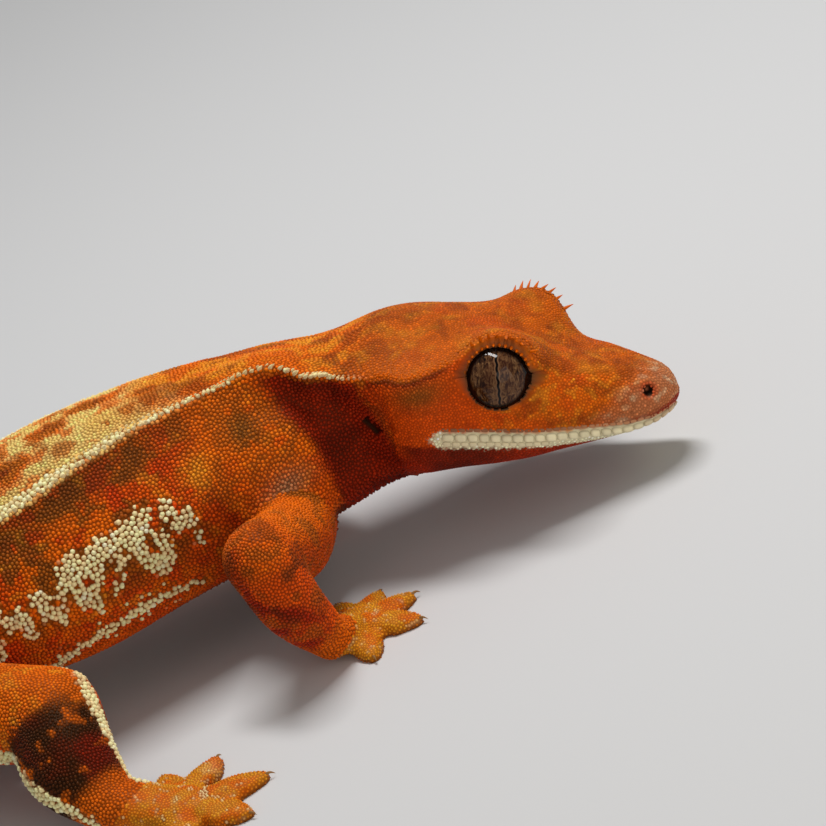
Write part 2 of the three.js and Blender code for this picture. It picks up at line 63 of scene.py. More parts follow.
# Distance in front of the eyes, crown height, crest (y, z), cheek (y, z), jaw (y, z), throat height
HEAD_SECTIONS = (
    (15.9, 1.1, 1.3, 0.8, 1.8, -0.2, 1.3, -1.2, -1.7),
    (14.6, 2.2, 2.4, 1.7, 3.2, -0.3, 2.5, -2.2, -3.0),
    (12.2, 3.0, 3.1, 2.4, 4.2, -0.5, 3.4, -3.1, -4.0),
    (9.0, 3.7, 4.1, 3.1, 5.4, -0.7, 4.5, -3.8, -4.8),
    (5.2, 4.4, 5.3, 3.9, 6.9, -0.8, 5.9, -4.5, -5.6),
    (2.2, 5.6, 7.2, 7.2, 8.0, -0.6, 6.9, -5.1, -6.2),
    (-1.0, 6.6, 7.6, 7.7, 8.7, -0.5, 7.6, -5.5, -6.8),
    (-4.4, 7.4, 8.9, 5.6, 9.6, -0.6, 8.3, -5.8, -7.2),
    (-8.2, 7.9, 10.3, 4.3, 10.3, -0.9, 8.7, -6.4, -8.1),
    (-12.0, 7.6, 9.9, 4.2, 9.3, -1.3, 7.4, -7.2, -9.3),
)
# Place of the middle, roll in degrees, then as for the head
TRUNK_SECTIONS = (
    (13.4, 1.6, 15.0, -11, 7.3, 8.4, 5.5, 7.4, -0.8, 5.8, -6.2, -9.0),
    (10.0, 1.9, 15.1, -12, 8.1, 8.6, 6.2, 8.2, -0.8, 6.4, -6.8, -9.4),
    (6.4, 2.0, 15.3, -17, 9.0, 7.5, 7.7, 9.3, -0.6, 7.3, -7.4, -9.8),
    (1.0, 2.1, 15.2, -11, 9.8, 6.8, 8.8, 11.0, 0.3, 8.4, -7.8, -10.2),
    (-9.0, 2.3, 15.9, -4, 10.7, 6.9, 9.3, 12.6, 0.5, 9.4, -8.2, -10.4),
    (-20.0, 2.0, 16.3, 0, 11.0, 8.2, 8.7, 13.4, 0.3, 10.0, -8.6, -10.6),
    (-31.0, 1.2, 15.6, 0, 10.1, 7.4, 7.8, 11.8, 0.2, 8.6, -7.5, -9.5),
    (-41.0, 0.2, 13.2, 0, 7.6, 5.2, 6.2, 8.4, 0.2, 6.4, -5.6, -6.9),
    (-49.0, -0.6, 10.0, 0, 5.2, 3.5, 4.3, 5.8, 0.0, 4.5, -3.9, -4.7),
    (-57.0, -1.3, 6.6, 0, 3.7, 2.5, 3.1, 4.0, 0.0, 3.1, -2.7, -3.3),
    (-66.0, -1.6, 3.9, 0, 3.2, 2.1, 2.6, 3.4, 0.0, 2.7, -2.3, -2.9),
    (-78.0, -0.6, 2.8, 0, 2.8, 1.9, 2.2, 3.0, 0.0, 2.4, -2.1, -2.6),
    (-92.0, 3.0, 2.3, 0, 2.3, 1.6, 1.8, 2.5, 0.0, 2.0, -1.7, -2.1),
    (-105.0, 9.5, 1.9, 0, 1.8, 1.3, 1.4, 2.0, 0.0, 1.6, -1.4, -1.7),
    (-114.0, 17.0, 1.6, 0, 1.5, 1.2, 1.1, 1.8, 0.0, 1.5, -1.2, -1.4),
    (-119.0, 24.0, 1.4, 0, 1.2, 1.6, 0.7, 2.4, -0.3, 2.0, -1.1, -1.2),
    (-121.0, 30.0, 1.3, 0, 0.9, 1.5, 0.5, 2.3, -0.4, 1.9, -1.0, -1.1),
)
# Joints of each limb as (x, y, z, half width, half depth), the palm's middle, the heading and length of each
# digit, and the half width of a toe pad
LIMBS = {
    "arm_right": {
        "joints": (
            (3.2, -4.0, 9.2, 3.9, 4.3),
            (1.4, -12.0, 10.6, 4.0, 4.3),
            (-1.6, -20.2, 14.4, 3.6, 3.8),
            (-0.9, -20.6, 8.6, 3.2, 3.3),
            (0.8, -19.2, 2.8, 2.3, 2.2),
        ),
        "palm": (3.4, -15.6),
        "digits": ((98, 7.0), (56, 6.4), (12, 6.8), (-34, 7.6), (-86, 7.2)),
        "pad": 1.5,
    },
    "arm_left": {
        "joints": (
            (5.0, 7.0, 11.0, 4.2, 4.4),
            (4.0, 14.5, 12.0, 4.2, 4.2),
            (1.5, 22.5, 11.6, 3.5, 3.6),
            (6.0, 24.3, 7.0, 3.3, 3.3),
            (11.0, 24.6, 2.8, 2.3, 2.1),
        ),
        "palm": (14.6, 24.2),
        "digits": ((-78, 6.4), (-36, 7.2), (0, 7.6), (38, 7.4), (86, 6.6)),
        "pad": 1.5,
    },
    "leg_right": {
        "joints": (
            (-42.5, -3.0, 13.0, 5.2, 5.2),
            (-37.0, -11.5, 11.5, 5.3, 5.3),
            (-26.4, -19.8, 9.3, 4.8, 4.8),
            (-26.6, -25.5, 6.3, 4.7, 4.3),
            (-24.8, -30.0, 3.0, 3.1, 2.5),
        ),
        "palm": (-19.0, -33.2),
        "digits": ((94, 8.2), (52, 8.4), (-8, 9.4), (-46, 9.4), (-96, 8.2)),
        "pad": 1.75,
    },
    "leg_left": {
        "joints": (
            (-42.5, 3.5, 13.0, 5.2, 5.2),
            (-37.5, 13.0, 12.0, 5.3, 5.2),
            (-32.0, 22.6, 9.4, 4.3, 4.3),
            (-37.0, 27.6, 6.4, 3.9, 3.8),
            (-43.0, 31.6, 3.0, 2.6, 2.4),
        ),
        "palm": (-46.0, 36.4),
        "digits": ((10, 7.6), (58, 8.4), (98, 9.0), (138, 9.0), (192, 8.0)),
        "pad": 1.75,
    },
}
PALM_BALL = (2.1, 2.3)  # half width of a palm in pads, and its half height
LIMB_NAMES = tuple(LIMBS)
TRUNK = len(LIMB_NAMES)  # the trunk's number among the body's regions, after the limbs
PALM = TRUNK + 1  # palms and digits are PALM plus their limb's number


def turn_about(axis, angle):
    return np.array(Matrix.Rotation(angle, 3, axis))


HEAD_TURN = turn_about("Z", YAW) @ turn_about("Y", PITCH) @ turn_about("X", ROLL)


def in_head(points):
    """Points in the head's frame, which has +X to the snout and +Z to the crown, in the pose's frame."""
    return HEAD_MID + np.asarray(points, float) @ HEAD_TURN.T


def to_head(points):
    return (np.asarray(points, float) - HEAD_MID) @ HEAD_TURN


def unit(vectors):
    vectors = np.asarray(vectors, float)
    return vectors / (np.linalg.norm(vectors, axis=-1, keepdims=True) + 1e-12)


def smooth(low, high, value):
    t = np.clip((value - low) / (high - low), 0.0, 1.0)
    return t * t * (3 - 2 * t)


def bump(value, middle, width):
    return np.exp(-(((value - middle) / width) ** 2))


def heading_vector(degrees):
    return np.array([math.cos(math.radians(degrees)), math.sin(math.radians(degrees)), 0])


def grid_of(first, second):
    """Every pair of the two rows of values, as two flat arrays."""
    a, b = np.meshgrid(first, second, indexing="ij")
    return a.ravel(), b.ravel()


def section_rows():
    rows = [[*in_head((h[0], 0, 0)), *(HEAD_TURN @ (0, 0, 1)), *h[1:]] for h in HEAD_SECTIONS]
    for x, y, z, roll, *outline in TRUNK_SECTIONS:
        tilt = math.radians(roll)
        rows.append([x, y, z, 0, -math.sin(tilt), math.cos(tilt), *outline])
    return np.array(rows)


ROWS = section_rows()
STATIONS = np.concatenate([[0], np.cumsum(np.linalg.norm(np.diff(ROWS[:, :3], axis=0), axis=1))])
TAIL_END = STATIONS[-1]
HIP = STATIONS[len(HEAD_SECTIONS) + 7]


def row_slopes():
    slopes = np.empty_like(ROWS)
    for k in range(len(ROWS)):
        a, b = max(0, k - 1), min(len(ROWS) - 1, k + 1)
        slopes[k] = (ROWS[b] - ROWS[a]) / (STATIONS[b] - STATIONS[a])
    return slopes


SLOPES = row_slopes()


def rows_at(s):
    """The sections' numbers at distances s along the spine, on a smooth curve through the rows."""
    i = np.clip(np.searchsorted(STATIONS, s) - 1, 0, len(STATIONS) - 2)
    span = (STATIONS[i + 1] - STATIONS[i])[:, None]
    t = (s - STATIONS[i])[:, None] / span
    ends = ROWS[i] * (1 + 2 * t) * (1 - t) ** 2 + ROWS[i + 1] * t * t * (3 - 2 * t)
    return ends + span * t * (1 - t) * (SLOPES[i] * (1 - t) - SLOPES[i + 1] * t)


def spine_frames(s):
    rows = rows_at(s)
    ahead = rows_at(np.maximum(0, s - 0.05))[:, :3]
    behind = rows_at(np.minimum(TAIL_END, s + 0.05))[:, :3]
    forward = unit(ahead - behind)
    left = unit(np.cross(rows[:, 3:6], forward))
    return rows, forward, left, np.cross(forward, left)


def outline_at(rows, v):
    """Each section's outline at v, which runs from 0 on the spine down the right side and back up to 8."""
    top, crest_y, crest_z, side_y, side_z, keel_y, keel_z, bottom = rows[:, 6:].T
    zero = np.zeros_like(top)
    half = ((crest_y, crest_z), (side_y, side_z), (keel_y, keel_z))
    corners = [(zero, top), *((-y, z) for y, z in half), (zero, bottom), *half[::-1]]
    corners = np.stack([np.stack(c, -1) for c in corners], 1)
    v = np.mod(v, 8)
    i = np.minimum(v.astype(int), 7)
    t = (v - i)[:, None]
    n = np.arange(len(rows))
    before, start, end, after = (corners[n, (i + k) % 8] for k in (-1, 0, 1, 2))
    m0, m1 = 0.5 * (end - before), 0.5 * (after - start)
    curve = (-3 * start + 3 * end - 2 * m0 - m1) * t * t + (2 * start - 2 * end + m0 + m1) * t**3
    return start + m0 * t + curve


def fold_depth(s, v):
    """How far the skin sinks. The neck's hollow under the crests is deeper on the side the head turns to."""
    side = np.where(v < 4, 1.0, 0.55)
    a = np.minimum(v, 8 - v)
    under_crest = 1.5 * bump(s, 38.5, 6.5) * bump(a, 1.38, 0.26)
    hollow = smooth(29.5, 33, s) * (1 - smooth(37, 40.5, s))
    hollow = hollow * smooth(1.1, 1.5, a) * (1 - smooth(2.6, 3.3, a))
    ledge = -0.45 * bump(s, 38, 9) * bump(a, 1.0, 0.12)
    crest_edge = -0.3 * smooth(44, 50, s) * (1 - smooth(HIP - 8, HIP, s)) * bump(a, 1.0, 0.12)
    return side * (under_crest + hollow) + ledge + crest_edge


def trunk_points(s, v):
    """Points of the skin at distances s along the spine and places v round it."""
    s, v = np.asarray(s, float).ravel(), np.asarray(v, float).ravel()
    rows, _, left, up = spine_frames(s)
    place = outline_at(rows, v)
    place = place - unit(place) * fold_depth(s, v)[:, None]
    return rows[:, :3] + left * place[:, :1] + up * place[:, 1:]


# Plain solids, as (points, faces)


def rings_to_mesh(rings):
    """A closed tube through rings of points, with its ends fanned to their middles."""
    rings = np.asarray(rings, float)
    count, n = rings.shape[:2]
    points = np.concatenate([rings.reshape(-1, 3), rings[0].mean(0)[None], rings[-1].mean(0)[None]])
    i = np.arange(n)
    j = (i + 1) % n
    faces = [np.stack([np.full(n, count * n), j, i], 1)]
    for k in range(count - 1):
        a, b = k * n, (k + 1) * n
        faces += [np.stack([a + i, a + j, b + i], 1), np.stack([a + j, b + j, b + i], 1)]
    end = (count - 1) * n
    faces.append(np.stack([np.full(n, count * n + 1), end + i, end + j], 1))
    return points, np.concatenate(faces)


def ball(centre, radii, turn=None, across=28, down=18):
    polar = np.linspace(0.02, math.pi - 0.02, down)
    around = np.linspace(0, 2 * math.pi, across, endpoint=False)
    p, a = np.meshgrid(polar, around, indexing="ij")
    shape = np.stack([np.sin(p) * np.cos(a), np.sin(p) * np.sin(a), np.cos(p)], -1) * np.asarray(radii, float)
    if turn is not None:
        shape = shape @ np.asarray(turn).T
    return rings_to_mesh(shape + np.asarray(centre, float))


def curve_through(joints, count):
    """Points, tangents and sizes along a smooth curve through joints of (x, y, z, half width, half depth)."""
    joints = np.asarray(joints, float)
    joints = np.concatenate([[2 * joints[0] - joints[1]], joints, [2 * joints[-1] - joints[-2]]])
    spans = len(joints) - 3
    t = np.linspace(0, spans, count)
    i = np.minimum(t.astype(int), spans - 1)
    f = (t - i)[:, None]
    before, start, end, after = (joints[i + k] for k in range(4))
    m0, m1 = 0.5 * (end - before), 0.5 * (after - start)
    rise = (-3 * start + 3 * end - 2 * m0 - m1) * f * f + (2 * start - 2 * end + m0 + m1) * f**3
    curve = start + m0 * f + rise
    tangents = unit(np.gradient(curve[:, :3], axis=0))
    return curve, tangents


def tube(curve, tangents, sides=24):
    across = unit(np.cross((0, 0, 1), tangents))
    up = np.cross(tangents, across)
    turn = np.linspace(0, 2 * math.pi, sides, endpoint=False)
    ring = across[:, None] * np.cos(turn)[None, :, None] * curve[:, None, 3:4]
    ring = ring + up[:, None] * np.sin(turn)[None, :, None] * curve[:, None, 4:5]
    return curve[:, None, :3] + ring


# A digit's shape by the distance along it: half width in pads, and height
DIGIT_ALONG = (0.0, 0.34, 0.52, 0.66, 0.84, 1.0)
DIGIT_WIDE = (0.85, 0.72, 1.0, 1.12, 0.8, 0.32)
DIGIT_HIGH = (2.0, 1.8, 1.6, 1.45, 1.25, 0.95)


def digit_rings(palm, heading, length, pad):
    """A digit that lies on the floor: a shaft, then a broad leaf of a pad with the claw at its narrow end."""
    along = np.linspace(0, 1, 28)
    wide = np.interp(along, DIGIT_ALONG, DIGIT_WIDE) * pad
    high = np.interp(along, DIGIT_ALONG, DIGIT_HIGH)
    forward = heading_vector(heading)
    side = np.array([-forward[1], forward[0], 0])
    turn = np.linspace(0, 2 * math.pi, 20, endpoint=False)
    centre = np.array([*palm, 0]) + forward * (along * length)[:, None]
    rings = centre[:, None] + side * (np.cos(turn)[None, :, None] * wide[:, None, None])
    ridge = 0.35 + 0.65 * np.abs(np.sin(turn)) ** 0.6
    rings[..., 2] = np.sign(np.sin(turn)) * ridge * high[:, None]
    rings[..., 2] = np.where(rings[..., 2] < 0, -0.5, rings[..., 2])
    return rings


def palm_ball(limb, **detail):
    wide = limb["pad"] * PALM_BALL[0]
    return ball((*limb["palm"], 0.3), (wide, wide, PALM_BALL[1]), **detail)


def join(parts):
    points, faces, start = [], [], 0
    for p, f in parts:
        points.append(p)
        faces.append(np.asarray(f) + start)
        start += len(p)
    return np.concatenate(points), np.concatenate(faces)


# Eyes

EYE_SIDES = {"right": -1, "left": 1}


def eye_frame(side):
    """Centre and axes of an eye: ahead, above and outward, in the pose's frame."""
    centre = in_head((EYE["x"], side * EYE["y"], EYE["z"]))
    axis = HEAD_TURN @ unit((EYE_AXIS[0], side * EYE_AXIS[1], EYE_AXIS[2]))
    ahead = HEAD_TURN @ np.array([1.0, 0, 0])
    ahead = unit(ahead - axis * (ahead @ axis))
    above = np.cross(axis, ahead) * -side
    return centre, ahead, above, axis


def round_eye(points, side):
    """Offset and distance of points from an eye's centre, angle from its axis, and turn round it."""
    centre, ahead, above, axis = eye_frame(side)
    off = points - centre
    far = np.linalg.norm(off, axis=1)
    away = np.arccos(np.clip(off @ axis / far, -1, 1))
    return off, far, away, np.arctan2(off @ above, off @ ahead)


OPENING = math.asin(3.08 / 3.5)  # from the eye's axis to the lids' edge


def lid_angle(turn):
    """The lids' edge, as the angle from the eye's axis, by the turn round it from the front corner."""
    turn = np.mod(turn + math.pi, 2 * math.pi) - math.pi
    return OPENING + 0.30 * np.exp(-((turn / 0.2) ** 2)) + 0.03 * np.exp(-(((turn - math.pi) / 0.3) ** 2))


# The mouth's line, as its height from the head's axis by the distance in front of the eyes
MOUTH_X = np.array([-8.2, -5.8, 4.2, 11.7, 15.2, 16.6])
MOUTH_Z = np.array([-3.4, -1.7, -2.35, -2.5, -1.9, -1.3])
MOUTH_CORNER = -5.6
EAR = ((32.0, 1.88), (31.3, 2.2))  # the two ends of the right ear's slit, along and round the body
NOSTRIL = (14.0, 2.95, 0.9)


def mouth_height(x):
    return np.interp(x, MOUTH_X, MOUTH_Z)


def mirror(v, side):
    return v if side < 0 else 8 - v


def from_nostril(points, side):
    return np.linalg.norm(points - in_head((NOSTRIL[0], side * NOSTRIL[1], NOSTRIL[2])), axis=1)


def ear_ends(side):
    return [trunk_points(s, mirror(v, side))[0] for s, v in EAR]


def from_ear(points, side):
    """Place of points along an ear's slit, -1 and 1 at its ends, and their distance from its line."""
    start, end = ear_ends(side)
    reach = (end - start) / 2
    off = points - (start + end) / 2
    ahead = off @ unit(reach)
    return ahead / np.linalg.norm(reach), np.linalg.norm(off - np.outer(ahead, unit(reach)), axis=1)


# The skin


def skin_parts():
    s = np.arange(0, TAIL_END + 0.01, 0.5)
    v = np.linspace(0, 8, 112, endpoint=False)
    rings = trunk_points(*grid_of(s, v)).reshape(len(s), len(v), 3)
    parts = [rings_to_mesh(rings), ball(in_head((15.2, 0, -0.25)), (1.25, 1.75, 1.25), HEAD_TURN)]
    parts.append(ball(rows_at(np.array([TAIL_END]))[0, :3] + (-0.6, 1.0, -0.3), (2.0, 2.2, 0.9)))
    for side in EYE_SIDES.values():
        centre, _, above, axis = eye_frame(side)
        parts.append(ball(centre, (3.9, 3.9, 3.9)))
        parts.append(ball(centre + 0.5 * above - 0.1 * axis, (3.95, 3.95, 3.95)))
    for limb in LIMBS.values():
        upper, lower = limb["joints"][:3], limb["joints"][2:]
        for joints in (upper, lower):
            parts.append(rings_to_mesh(tube(*curve_through(joints, 24))))
        for x, y, z, wide, deep in (upper[2], lower[2]):
            parts.append(ball((x, y, z), [(wide + deep) / 2] * 3))
        palm_end = (*limb["palm"], 1.3, limb["pad"] * 1.6, 1.3)
        parts.append(rings_to_mesh(tube(*curve_through((lower[2], palm_end), 8))))
        parts.append(palm_ball(limb))
        for heading, length in limb["digits"]:
            parts.append(rings_to_mesh(digit_rings(limb["palm"], heading, length, limb["pad"])))
    return parts


def voxel_skin(parts, voxel):
    """One closed surface round all the parts."""
    points, faces = join(parts)
    mesh = bpy.data.meshes.new("skin_parts")
    mesh.from_pydata(points.tolist(), [], faces.tolist())
    obj = bpy.data.objects.new("skin_parts", mesh)
    bpy.context.scene.collection.objects.link(obj)
    remesh = obj.modifiers.new("remesh", "REMESH")
    remesh.mode = "VOXEL"
    remesh.voxel_size = voxel
    evaluated = obj.evaluated_get(bpy.context.evaluated_depsgraph_get())
    result = evaluated.to_mesh()
    co = np.empty(len(result.vertices) * 3)
    result.vertices.foreach_get("co", co)
    quads = np.empty(len(result.loops), int)
    result.loops.foreach_get("vertex_index", quads)
    evaluated.to_mesh_clear()
    bpy.data.objects.remove(obj)
    return co.reshape(-1, 3), quads.reshape(-1, 4)


def mean_of_neighbours(points, edges):
    total = np.zeros_like(points)
    for a, b in ((0, 1), (1, 0)):
        for k in range(3):
            total[:, k] += np.bincount(edges[:, a], points[edges[:, b], k], len(points))
    count = np.bincount(edges.ravel(), minlength=len(points))[:, None]
    return total / np.maximum(count, 1)


def relax(points, edges, rounds, weight):
    for _ in range(rounds):
        points = points + weight * (mean_of_neighbours(points, edges) - points)
    return points


def edges_of(faces):
    pairs = np.concatenate([faces[:, [k, (k + 1) % faces.shape[1]]] for k in range(faces.shape[1])])
    return np.unique(np.sort(pairs, axis=1), axis=0)


def smooth_skin(points, faces):
    """Removes the voxels' steps without shrinking, then blends each limb into the trunk."""
    edges = edges_of(faces)
    for _ in range(7):
        points = relax(points, edges, 1, 0.55)
        points = relax(points, edges, 1, -0.57)
    blend = np.zeros(len(points))
    for name, limb in LIMBS.items():
        joints = np.array(limb["joints"])
        reach = 5.0 if name.startswith("arm") else 6.5
        for k, strength, size in ((1, 1.0, 1.0), (2, 0.5, 1.0), (4, 0.6, 0.45)):
            far = np.linalg.norm(points - joints[k, :3], axis=1)
            blend = np.maximum(blend, strength * (1 - smooth(reach * size * 0.8, reach * size * 1.6, far)))
    return relax(points, edges, 14, 0.6 * blend[:, None])


def refine(points, faces):
    """Triangles, with a finer net round the eyes, ears and nostrils."""
    mesh = bpy.data.meshes.new("refine")
    mesh.from_pydata(points.tolist(), [], faces.tolist())
    net = bmesh.new()
    net.from_mesh(mesh)
    for reach in (1.0, 0.75):
        centres = np.array([f.calc_center_median() for f in net.faces])
        near = fine_region(centres, reach)
        edges = {e for f, chosen in zip(net.faces, near) if chosen for e in f.edges}
        bmesh.ops.subdivide_edges(net, edges=list(edges), cuts=1, use_grid_fill=True)
    bmesh.ops.triangulate(net, faces=net.faces)
    net.verts.index_update()
    fine_points = np.array([v.co for v in net.verts])
    fine_faces = np.array([[v.index for v in f.verts] for f in net.faces])
    net.free()
    bpy.data.meshes.remove(mesh)
    return fine_points, fine_faces


def fine_region(points, reach):
    near = np.zeros(len(points), bool)
    for side in EYE_SIDES.values():
        centre, _, _, axis = eye_frame(side)
        off = points - centre
        near |= (np.linalg.norm(off, axis=1) < 4.8 * reach) & (off @ axis > 0.8)
        near |= from_nostril(points, side) < 1.1 * reach
        for end in ear_ends(side):
            near |= np.linalg.norm(points - end, axis=1) < 1.3 * reach
    return near


def lid_groove(points, side):
    """The fold that sets the upper lid off from the brow, 1 at its bottom."""
    _, far, away, turn = round_eye(points, side)
    upper = smooth(0.0, 0.6, np.sin(turn)) * (far < 5)
    return bump(away, OPENING + 0.2, 0.035) * upper


def carve(points):
    """Opens the eyes, ears and nostrils in the skin, and lays the soles flat on the floor."""
    points = points.copy()
    for side in EYE_SIDES.values():
        centre = eye_frame(side)[0]
        off, far, away, turn = round_eye(points, side)
        edge = lid_angle(turn)
        inside = (far < 4.9) & (away < edge)
        points[inside] = centre + unit(off[inside]) * 3.3
        lid = (far < 4.6) & (away >= edge) & (away < edge + 0.35)
        points[lid] = centre + unit(off[lid]) * np.maximum(3.66, far[lid])[:, None]
        points -= unit(off) * (0.16 * lid_groove(points, side))[:, None]

        inward = HEAD_TURN @ unit((-0.5, -side * 0.8, -0.2))
        points += inward * (0.85 * bump(from_nostril(points, side), 0, 0.5))[:, None]

        along, across = from_ear(points, side)
        inward = HEAD_TURN @ np.array([0.35, -side * 0.93, 0])
        points += inward * (1.1 * bump(across, 0, 0.42) * (1 - smooth(0.8, 1.3, np.abs(along))))[:, None]
    points[:, 2] = np.maximum(points[:, 2], 0)
    return points


# Where a point lies on the body, for the markings and for the unwrap


def body_samples():
    """Points all over the parts, each with its region, its place along that region and its place round it."""
    samples = []
    s, v = grid_of(np.arange(0, TAIL_END, 0.3), np.linspace(0, 8, 160, endpoint=False))
    samples.append((trunk_points(s, v), np.full(len(s), TRUNK), s, v))
    rings, sides = 60, 48
    for number, limb in enumerate(LIMBS.values()):
        for half, joints in enumerate((limb["joints"][:3], limb["joints"][2:])):
            points = tube(*curve_through(joints, rings), sides).reshape(-1, 3)
            t, turn = grid_of(np.linspace(half, half + 1, rings), np.linspace(0, 1, sides, endpoint=False))
            in_trunk = 600 if half == 0 else 0  # the first points of an upper limb, which don't show
            columns = points, np.full(len(points), number), t, turn
            samples.append([column[in_trunk:] for column in columns])
        palm = np.array(limb["palm"])
        points, _ = palm_ball(limb, across=48, down=32)
        turn = np.mod(np.arctan2(points[:, 1] - palm[1], points[:, 0] - palm[0]) / (2 * math.pi), 1)
        out = np.linalg.norm(points[:, :2] - palm, axis=1) / 20
        samples.append((points, np.full(len(points), PALM + number), out, turn))
        for k, (heading, length) in enumerate(limb["digits"]):
            points = digit_rings(limb["palm"], heading, length, limb["pad"])
            along = np.repeat(np.linspace(0, length, len(points)), points.shape[1])
            turn = np.tile(np.linspace(0, 1, points.shape[1], endpoint=False), len(points))
            keep = along > limb["pad"] * 2
            part = np.full(keep.sum(), PALM + number)
            samples.append((points.reshape(-1, 3)[keep], part, 0.2 + k * 0.16 + along[keep] / 70, turn[keep]))
    return [np.concatenate(columns) for columns in zip(*samples)]


SAMPLES = body_samples()
SAMPLE_TREE = KDTree(len(SAMPLES[0]))
for index, point in enumerate(SAMPLES[0]):
    SAMPLE_TREE.insert(point, index)
SAMPLE_TREE.balance()


def locate(points):
    """Region, place along it and place round it of each point."""
    nearest = np.array([SAMPLE_TREE.find(p)[1] for p in points])
    return tuple(column[nearest] for column in SAMPLES[1:])


def unwrap(region, along, around):
    """UV places on an unwrap of the body: the trunk below, then the four limbs, then the four feet."""
    uv = np.empty((len(region), 2))
    for chosen, u, v in (
        (region == TRUNK, 0.01 + 0.97 * along / TAIL_END, 0.01 + 0.07 * around),
        (region < TRUNK, 0.005 + 0.25 * region + 0.115 * along, 0.59 + 0.2 * around),
        (region > TRUNK, 0.005 + 0.25 * (region - PALM) + 0.22 * along, 0.81 + 0.17 * around),
    ):
        uv[chosen] = np.stack([u, v], 1)[chosen]
    return uv


# Markings, with painted shade


def hash_grid(ix, iy, iz, seed):
    n = (ix * 73856093) ^ (iy * 19349663) ^ (iz * 83492791) ^ (seed * 2654435)
    n = (n ^ (n >> 13)) * 1274126177
    return ((n ^ (n >> 16)) & 0xFFFF) / 65535.0


def noise(points, size, seed):
    """Smooth noise from 0 to 1 with features of about the given size."""
    p = points / size + 100
    base = np.floor(p).astype(np.int64)
    f = p - base
    f = f * f * (3 - 2 * f)
    total = np.zeros(len(points))
    for dx in (0, 1):
        for dy in (0, 1):
            for dz in (0, 1):
                weight = np.abs(1 - dx - f[:, 0]) * np.abs(1 - dy - f[:, 1]) * np.abs(1 - dz - f[:, 2])
                total += weight * hash_grid(base[:, 0] + dx, base[:, 1] + dy, base[:, 2] + dz, seed)
    return total


def layers(points, size, seed):
    """Three layers of noise, each half the size and half the strength of the last, from 0 to 1."""
    return sum(noise(points, size / 2**k, seed + k) / 2**k for k in range(3)) / 1.75


def linear(*colour):
    """Linear light from a colour of three numbers up to 255."""
    c = np.array(colour) / 255
    return np.where(c <= 0.04045, c / 12.92, ((c + 0.055) / 1.055) ** 2.4)


CREAM = linear(244, 224, 168)
BACK_CREAM = linear(238, 200, 118)
TAN = linear(178, 96, 24)
PALE_YELLOW = linear(236, 188, 100)
YELLOW = linear(232, 148, 34)
ORANGE = linear(218, 100, 8)
RED_ORANGE = linear(206, 74, 6)
RED = linear(196, 50, 8)
BROWN = linear(130, 52, 10)
OLIVE = linear(124, 74, 20)
DARK_OLIVE = linear(88, 44, 14)
DARK_RED = linear(150, 32, 6)
DEEP_RED = linear(88, 12, 4)
GREY_BROWN = linear(150, 112, 78)
LIP_WHITE = linear(238, 226, 186)
SNOUT_PINK = linear(186, 114, 72)
# The belly's colour is painted shade of the underside
SHADED_BELLY = linear(110, 46, 22)


def mix(a, b, amount):
    amount = np.clip(amount, 0, 1)[:, None]
    return a * (1 - amount) + b * amount


def painted(colour, *coats):
    """A colour under coats of (colour, amount), the last on top."""
    for coat, amount in coats:
        colour = mix(colour, coat, amount)
    return colour


def repeated(colour, count):
    return np.repeat(np.asarray(colour)[None], count, 0)


# Pale blotches of the right flank: along the body, round it, and radius in millimetres
BLOTCHES = (
    (73.5, 2.00, 0.85), (71.0, 1.93, 0.90), (71.0, 2.12, 0.70), (69.8, 2.20, 0.65), (69.8, 2.27, 0.50),
    (67.9, 2.00, 1.15), (65.5, 1.97, 1.75), (67.2, 1.80, 0.60), (65.8, 1.72, 0.60), (64.2, 1.80, 0.60),
    (66.9, 2.20, 0.60), (65.8, 2.32, 0.55), (62.9, 1.80, 0.85), (61.6, 1.92, 0.60), (61.3, 2.02, 0.55),
    (62.0, 2.15, 0.50), (63.0, 2.27, 0.50), (61.0, 1.80, 0.60), (59.6, 1.80, 0.80), (59.5, 1.94, 0.70),
    (59.3, 2.08, 0.65), (58.6, 2.20, 0.70), (57.9, 2.33, 0.80), (57.0, 2.28, 0.60), (56.6, 2.15, 0.55),
    (56.9, 2.05, 0.60), (58.0, 1.92, 0.60), (58.0, 1.73, 0.60), (57.2, 1.76, 0.40), (55.0, 1.85, 0.75),
    (54.3, 2.03, 0.75), (53.1, 1.98, 0.50), (52.9, 2.13, 0.50), (53.0, 2.28, 0.45),
)
BLOTCH_HOLES = ((67.8, 2.02, 0.5), (65.4, 2.02, 0.72), (57.9, 2.05, 0.6), (62.4, 2.02, 0.4))
BLOTCH_REPEAT = 20.5  # the chain of blotches starts again this far back
ROUND_MM = 9.0  # one step of v on the flank
# Brown patches of the back: along the body, round it, and half length and half width in millimetres
BROWN_PATCHES = (
    (62.5, -0.05, 1.9, 1.5), (58.4, -0.30, 2.2, 1.3), (68.0, 0.40, 2.4, 1.2), (52.8, 0.05, 1.6, 1.0),
    (74.5, 0.10, 2.2, 1.3), (80.0, -0.25, 1.9, 1.2), (85.5, 0.20, 2.0, 1.0), (91.0, -0.1, 1.8, 0.9),
)


def blotch_mask(s, v, wobble):
    inside = np.zeros(len(s))
    for repeat in range(2):
        for bs, bv, r in BLOTCHES:
            gap = np.hypot(s - bs - repeat * BLOTCH_REPEAT, (v - bv) * ROUND_MM)
            inside = np.maximum(inside, 1 - smooth(r, r * 1.2 + 0.3, gap + wobble))
        for bs, bv, r in BLOTCH_HOLES:
            gap = np.hypot(s - bs - repeat * BLOTCH_REPEAT, (v - bv) * ROUND_MM)
            inside = np.minimum(inside, smooth(r * 0.75, r, gap + wobble))
    return inside


def ventral_row(s):
    """Place round the body of the row of pale scales at the belly's edge."""
    return 2.66 + 0.0021 * (s - 63.5) ** 2


